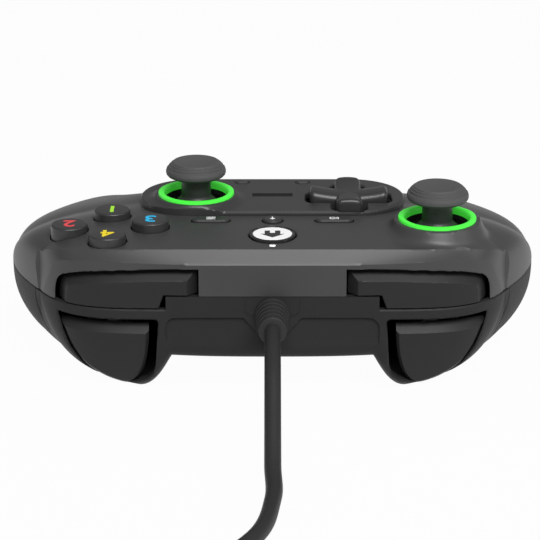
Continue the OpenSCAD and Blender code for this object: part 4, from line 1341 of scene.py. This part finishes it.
@dataclass
class Shoulder:
    """Bumper and trigger of one side."""

    side: str
    sign: float
    bumper_t: float = 3.6
    bumper_bevel: float = 2.8
    bumper_gap: float = 0.7
    trigger_t: float = 3.2
    trigger_bevel: float = 2.6
    trigger_soft: float = 0.8
    trigger_back: float = 0.3
    trigger_lean: float = 7.0
    lean_run: float = 20.5
    lean_power: float = 1.4
    outline_edge: float = 0.25

    def bumper(self, x: Array, y: Array, z: Array) -> Array:
        """Field of the left bumper.

        Args:
            x, y, z: Coordinates in millimetres.

        Returns:
            The field, negative inside.
        """
        front, top = FORM.front_gap(x, y, 0.0), bumper_edge(self.bumper_gap)
        step = filleted([(20.9, 30.2, 0.0), (30.2, 30.2, 0.6), (31.6, 26.3, 0.6), (60.2, 26.3, 0.5),
                         (60.2, 28.0, 0.0)])
        outline = polygon(x, z, [*step[::-1], *top])
        upper = polygon(x, z, [(60.2, 5.0), (20.9, 5.0), *top])
        shaped = both(chamfer(front, outline, self.outline_edge), chamfer(front, upper, self.bumper_bevel))
        return both(shaped, -FORM.front_gap(x, y, self.bumper_t))

    def trigger(self, x: Array, y: Array, z: Array) -> Array:
        """Field of the left trigger.

        Args:
            x, y, z: Coordinates in millimetres.

        Returns:
            The field, negative inside.
        """
        under = LAYOUT.trigger_top - z
        lean = self.trigger_lean * np.clip(under / self.lean_run, 0.0, 1.3) ** self.lean_power
        back = y - self.trigger_back - lean
        front = FORM.front_gap(x, back, 0.0) * 0.94
        outline = polygon(x, z, through(trigger_edge(), 4).tolist())
        shaped = both(chamfer(front, outline, self.trigger_soft), chamfer(front, -under, self.trigger_bevel))
        return both(shaped, back - self.trigger_t - FORM.front(x))

    def build(self) -> None:
        """Makes and dresses the bumper and the trigger."""
        for kind, rule, lo, hi, step in (
                ("bumper", self.bumper, (20.9, -52.5, 26.3), (61.0, -39.0, 37.2), 0.3),
                ("trigger", self.trigger, (34.6, -52.5, 0.3), (60.2, -36.0, 21.2), 0.32)):
            made = Contour.on_side(rule, self.sign, lo, hi, step).mesh(f"{self.side}_{kind}_cover", 24.0)
            # Bumpers and triggers wear the darker copy of the black plastic, which is painted shade.
            place(made, f"{self.side}_{kind}_body", "control", SHOULDER_SHADED, f"{self.side}_{kind}")


@dataclass
class Cord:
    """Ribbed sleeve, cord with its stored coil, and plug."""

    diameter: float = 4.4
    floor_gap: float = 1.2
    coil_r: float = 36.5
    coil_turns: float = 17.25
    coil_layers: int = 4
    turn_steps: int = 48
    pitch: float = 4.9
    coil: Point2 = (-20.0, -226.0)
    plug_out: float = 50.0
    plug_z: float = 4.4
    ribs: int = 5
    rib_gap: float = 0.45
    sleeve_y: float = -52.4
    sleeve_end: float = -66.0
    sleeve_collar: float = 1.7
    plate_half: float = 7.4
    plate_foot: float = 24.6
    plate_top: float = 29.75
    plate_r: float = 1.6
    plate_rim: float = 0.5
    plate_y: Point2 = (-52.62, -52.3)
    groove_y: float = -52.45
    groove_half: float = 0.22
    neck_r: float = 3.2
    neck_len: float = 9.0
    grip_half: Point2 = (7.8, 4.2)
    grip_span: Point2 = (8.0, 30.0)
    grip_bevel: float = 1.6
    grip_end: float = 0.8
    dent: float = 0.35
    dent_span: Point2 = (13.0, 25.0)
    dent_rate: float = 2.2

    def plug_at(self) -> Point3:
        """Where the cord enters the plug."""
        return self.coil[0] + self.plug_out, self.coil[1] - self.coil_r, self.plug_z

    def route(self) -> Array:
        """Centre line of the whole cord, from the sleeve to the plug.

        Returns:
            Its points, one a row.
        """
        (cx, cy), low, out = self.coil, self.diameter / 2 + self.floor_gap, LAYOUT.sleeve_z
        lead = [(0, self.sleeve_end, out), (0, -71, out), (0, -84, 22.5), (0, -98, 14), (0, -112, 6.4),
                (0, -126, low), (-5, -148, low), (-24, -174, low), (-50, -198, low),
                (cx - self.coil_r - 0.6, cy + 9, low), (cx - self.coil_r, cy, low)]
        leg = self.coil_turns / self.coil_layers
        t = np.arange(1, round(self.coil_turns * self.turn_steps)) / self.turn_steps
        layer = np.floor(t / leg)
        share = t / leg - layer
        share = np.where(layer % 2 == 0, share, 1 - share)
        lift = sum(np.clip((t - k * leg + 0.25) / 0.5, 0, 1) for k in range(1, self.coil_layers))
        r, a = self.coil_r - self.pitch * leg * share, np.pi * (1 + 2 * t)
        turns = np.stack([cx + r * np.cos(a), cy + r * np.sin(a), low + self.pitch * lift], axis=1)
        high, (px, py, pz) = low + (self.coil_layers - 1) * self.pitch, self.plug_at()
        tail = [(cx, py, high), (cx + 6, py, high), (cx + 18, py, high - 2.6), (cx + 31, py, 8.6),
                (cx + 41, py, 4.8), (px - 5, py, pz), (px, py, pz)]
        return np.concatenate([through(lead, 10), turns, through(tail, 10)])

    def tube(self, path: Array, around: int = 14) -> bpy.types.Mesh:
        """Sweeps the cord's round section along its centre line.

        Args:
            path: The centre line.
            around: Corners of the section.

        Returns:
            The closed tube.
        """
        along = np.gradient(path, axis=0)
        along /= np.linalg.norm(along, axis=1, keepdims=True)
        across = np.cross(along, (0.0, 0.0, 1.0))
        across /= np.linalg.norm(across, axis=1, keepdims=True)
        over = np.cross(across, along)
        turn = np.linspace(0, 2 * np.pi, around, endpoint=False)[:, None]
        rim = across[:, None] * np.cos(turn) + over[:, None] * np.sin(turn)
        points = (path[:, None] + rim * self.diameter / 2).reshape(-1, 3)
        rows = np.arange(len(points)).reshape(-1, around)
        ahead = np.roll(rows, -1, axis=1)
        sides = np.stack([rows[:-1], rows[1:], ahead[1:], ahead[:-1]], axis=2).reshape(-1, 4)
        faces = [*sides.tolist(), rows[0].tolist(), rows[-1, ::-1].tolist()]
        return make_mesh("cord_run", points, faces, NO_CREASE)

    def plate(self) -> None:
        """Makes the flush plate that the sleeve grows out of, with a fine groove round it."""
        top, foot, half, rim = self.plate_top, self.plate_foot, self.plate_half, self.plate_rim
        face, back = self.plate_y
        plan = lambda x, z: both(rounded(np.abs(x) - half, foot - z, self.plate_r), z - top)
        groove = lambda x, y, z: both(np.abs(plan(x, z)) - self.groove_half, y - self.groove_y)
        rule = lambda x, y, z: both(plan(x, z) - rim, z - top, slab(y, face, back), -groove(x, y, z))
        made = Contour(rule, (-half - rim, face, foot - rim), (half + rim, back, top), 0.13)
        # The plate wears the darker copy of the shell plastic, which is painted shade.
        place(made.mesh("sleeve_plate"), "housing", "lower", LOWER_SHADED)

    def sleeve(self) -> bpy.types.Object:
        """Makes the tapered core, its row of ribs and its round-edged end as one moulding.

        Returns:
            The new object.
        """
        y0, z0 = self.sleeve_y, LAYOUT.sleeve_z
        end = y0 - self.sleeve_end
        neck = end - self.sleeve_collar
        pitch = neck / self.ribs
        wide = pitch - self.rib_gap
        rib = [(3.2, 0.0), (4.7, 0.0), (4.84, 0.06), (4.9, 0.2), (4.86, wide - 0.2), (4.8, wide - 0.06),
               (4.66, wide), (3.2, wide)]
        unit = lathe("sleeve_rib", rib, (0.0, 0.0, 0.0), 64, 40.0, Axis.FRONT)
        row = Repeat("sleeve_ribs", unit, [(0.0, y0 - pitch * k, z0) for k in range(self.ribs)], 1.0, 0.86)
        section = [(0.0, -6.0), (2.6, -6.0), (2.6, -0.2), (4.3, 0.0), (3.6, neck), (3.85, neck + 0.05),
                   (3.98, neck + 0.2), (3.95, end - 0.45), (3.83, end - 0.16), (3.55, end), (0.0, end)]
        core = lathe("sleeve_core", section, (0.0, y0, z0), 64, 30.0, Axis.FRONT)
        points, faces = [], []
        for part in (core, row.mesh(CORD)):
            faces += [[len(points) + v for v in face.vertices] for face in part.polygons]
            points += [v.co[:] for v in part.vertices]
        joined = make_mesh("cord_sleeve_ribbed", points, faces, 34.0, 1.0)
        return place(joined, "housing", "cord", CORD, "cord_sleeve")

    def plug(self) -> bpy.types.Object:
        """Makes the moulded plug body with its finger ribs.

        Returns:
            The new object.
        """
        (px, py, pz), (half_w, half_h), (first, last) = self.plug_at(), self.grip_half, self.dent_span

        def rule(x: Array, y: Array, z: Array) -> Array:
            """Field of the plug body.

            Args:
                x, y, z: Coordinates in millimetres.

            Returns:
                The field, negative inside.
            """
            u, v, w = x - px, np.abs(y - py), np.abs(z - pz)
            neck = both(np.hypot(v, w) - self.neck_r, slab(u, 0.0, self.neck_len))
            grip = chamfer(v - half_w, w - half_h, self.grip_bevel)
            wave = np.clip(np.cos((u - (first + last) / 2) * self.dent_rate) * 2.0, 0.0, 1.0)
            dent = self.dent * wave * ((u > first) & (u < last))
            return either(neck, chamfer(grip, slab(u, *self.grip_span), self.grip_end) + dent)

        low, high = (px, py - half_w, pz - half_h), (px + self.grip_span[1], py + half_w, pz + half_h)
        made = Contour(rule, low, high, 0.42).mesh("plug_grip")
        return place(made, "housing", "cord", CORD, "plug_body")

    def build(self) -> None:
        self.plate()
        sleeve, plug = self.sleeve(), self.plug()
        path = self.route()
        run = place(self.tube(path), "housing", "cord", CORD, "cord_lead", "cord_coil", "cord_tail")


@dataclass
class Works:
    """Finishes of the solids that stay as they are, and the housing's screws."""

    finishes: tuple[tuple[Finish, tuple[str, ...]], ...] = (
        (STEEL, ("left_stick_shaft", "right_stick_shaft", "left_trigger_pin", "right_trigger_pin", "left_motor",
                 "right_motor", "left_trigger_spring", "right_trigger_spring", "bumper_switches")),
        (WORKS, ("left_rocker", "right_rocker", "left_sensor", "right_sensor", "dpad_rocker", "dpad_cradle",
                 "middle_frame", "headset_socket")),
        (BOARD, ("main_board",)),
        (PADS, ("face_pads", "dpad_pads")),
        (WEIGHT, ("left_weight", "right_weight")),
        (LIGHT, ("status_light",)),
        (CORD, ("cord_tie",)),
        (BRIGHT, ("plug_shell",)),
        (TONGUE, ("plug_tongue",)),
    )
    head_r: float = 2.4
    shank_r: float = 1.2
    screw_len: float = 10.2

    def screw(self, x: Array, y: Array, z: Array) -> Array:
        """Field of one screw, head down, with its cross recess.

        Args:
            x, y, z: Coordinates in millimetres.

        Returns:
            The field, negative inside.
        """
        r, a, b = np.hypot(x, y), np.abs(x), np.abs(y)
        head = chamfer(r - self.head_r, slab(z, 0.0, 1.2), 0.4)
        shank = both(r - self.shank_r, slab(z, 1.0, self.screw_len))
        cross = both(either(both(a - 1.5, b - 0.32), both(b - 1.5, a - 0.32)), z - 0.7)
        return both(either(head, shank), -cross)

    def build(self) -> None:
        """Dresses the kept solids and sets the screws."""
        for finish, names in self.finishes:
            for name in names:
                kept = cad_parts[name]
                if not kept.material_slots:
                    kept.data.materials.append(None)
                for held in kept.material_slots:
                    held.material = finish.material()
        r = self.head_r
        unit = Contour(self.screw, (-r, -r, 0.0), (r, r, self.screw_len), 0.24).mesh("screw_unit")
        made = Repeat("housing_screw_set", unit, LAYOUT.screws).mesh(STEEL)
        place(made, "housing", "steel", STEEL, "housing_screws")


@dataclass
class Studio:
    """Camera, pale floor and soft light."""

    eye: Point3 = (-0.7, -628.6, 245.2)
    pitch: float = 70.2
    lens: float = 148.4
    sensor: float = 36.0
    floor_half: float = 4.0
    floor_grey: float = 0.4
    floor_white: float = 0.97
    sky: float = 0.28
    aim: Point3 = (0.0, 0.0, 0.03)

    def camera(self) -> None:
        """Sets the camera at the photograph's angle."""
        lens = bpy.data.cameras.new("camera")
        lens.lens = self.lens
        lens.sensor_width = self.sensor
        lens.clip_start = 0.01
        eye = bpy.data.objects.new("camera", lens)
        eye.location = Vector(self.eye) * MM
        eye.rotation_euler = (math.radians(self.pitch), 0.0, 0.0)
        bpy.context.scene.collection.objects.link(eye)
        bpy.context.scene.camera = eye

    def floor(self) -> None:
        """Lays the pale floor, which shows white to the camera and keeps a faint shadow."""
        half = self.floor_half
        corners = [(u, v, 0.0) for u, v in rect(-half, -half, half, half)]
        made = make_mesh("floor", corners, [(0, 1, 2, 3)], unit=1.0)
        pale = bpy.data.materials.new("floor_pale")
        pale.use_nodes = True
        tree = pale.node_tree
        grey = (self.floor_grey, self.floor_grey, self.floor_grey, 1.0)
        shader = set_inputs(tree.nodes["Principled BSDF"], Base_Color=grey, Roughness=0.9)
        glow, mix, path, shown, clear, share = (tree.nodes.new(f"ShaderNode{kind}") for kind in (
            "Emission", "MixShader", "LightPath", "Math", "Math", "Math"))
        shown.operation = clear.operation = "MAXIMUM"
        share.operation = "MULTIPLY"
        share.inputs[1].default_value = self.floor_white
        wire(tree, (path, "Is Camera Ray", shown, 0), (path, "Is Glossy Ray", shown, 1), (shown, 0, clear, 0),
             (path, "Is Transmission Ray", clear, 1), (clear, 0, share, 0), (share, 0, mix, "Fac"),
             (shader, "BSDF", mix, 1), (glow, "Emission", mix, 2),
             (mix, "Shader", tree.nodes["Material Output"], "Surface"))
        made.materials.append(pale)
        floor = bpy.data.objects.new("floor", made)
        bpy.context.scene.collection.objects.link(floor)

    def lamp(self, name: str, at: Point3, size: Point2, watts: float) -> None:
        """Hangs one soft panel light that faces the gamepad.

        Args:
            name: The lamp's name.
            at: Where it hangs, in metres.
            size: Width and height of the panel.
            watts: Its power.
        """
        panel = bpy.data.lights.new(name, "AREA")
        panel.shape = "RECTANGLE"
        panel.size, panel.size_y = size
        panel.energy = watts
        made = bpy.data.objects.new(name, panel)
        made.location = at
        made.rotation_euler = (Vector(self.aim) - Vector(at)).to_track_quat("-Z", "Y").to_euler()
        bpy.context.scene.collection.objects.link(made)

    def light(self) -> None:
        """Sets the world and the panel lights."""
        scene = bpy.context.scene
        scene.view_settings.view_transform = "Standard"
        world = bpy.data.worlds.new("studio")
        world.use_nodes = True
        set_inputs(world.node_tree.nodes["Background"], Color=(1.0, 1.0, 1.0, 1.0), Strength=self.sky)
        scene.world = world
        self.lamp("key", (0.22, -0.95, 1.05), (0.9, 0.5), 21.0)
        self.lamp("left", (-1.2, -0.5, 0.8), (0.5, 0.7), 0.4)
        self.lamp("right", (1.2, -0.5, 0.8), (0.5, 0.7), 3.0)

    def build(self) -> None:
        """Sets the whole studio."""
        self.camera()
        self.floor()
        self.light()


def main() -> None:
    """Builds the gamepad piece by piece."""
    logging.basicConfig(level=logging.INFO, format="%(name)s: %(message)s")
    Studio().build()
    Cord().build()
    Housing().build()
    CentrePanel().build()
    for side, spot in (("left", LAYOUT.left_stick), ("right", LAYOUT.right_stick)):
        Stick(side, spot).build()
    DirectionPad().build()
    FaceButtons().build()
    CentreButtons().build()
    for side, sign in SIDES:
        Shoulder(side, sign).build()
    Works().build()


if __name__ == "__main__":
    main()
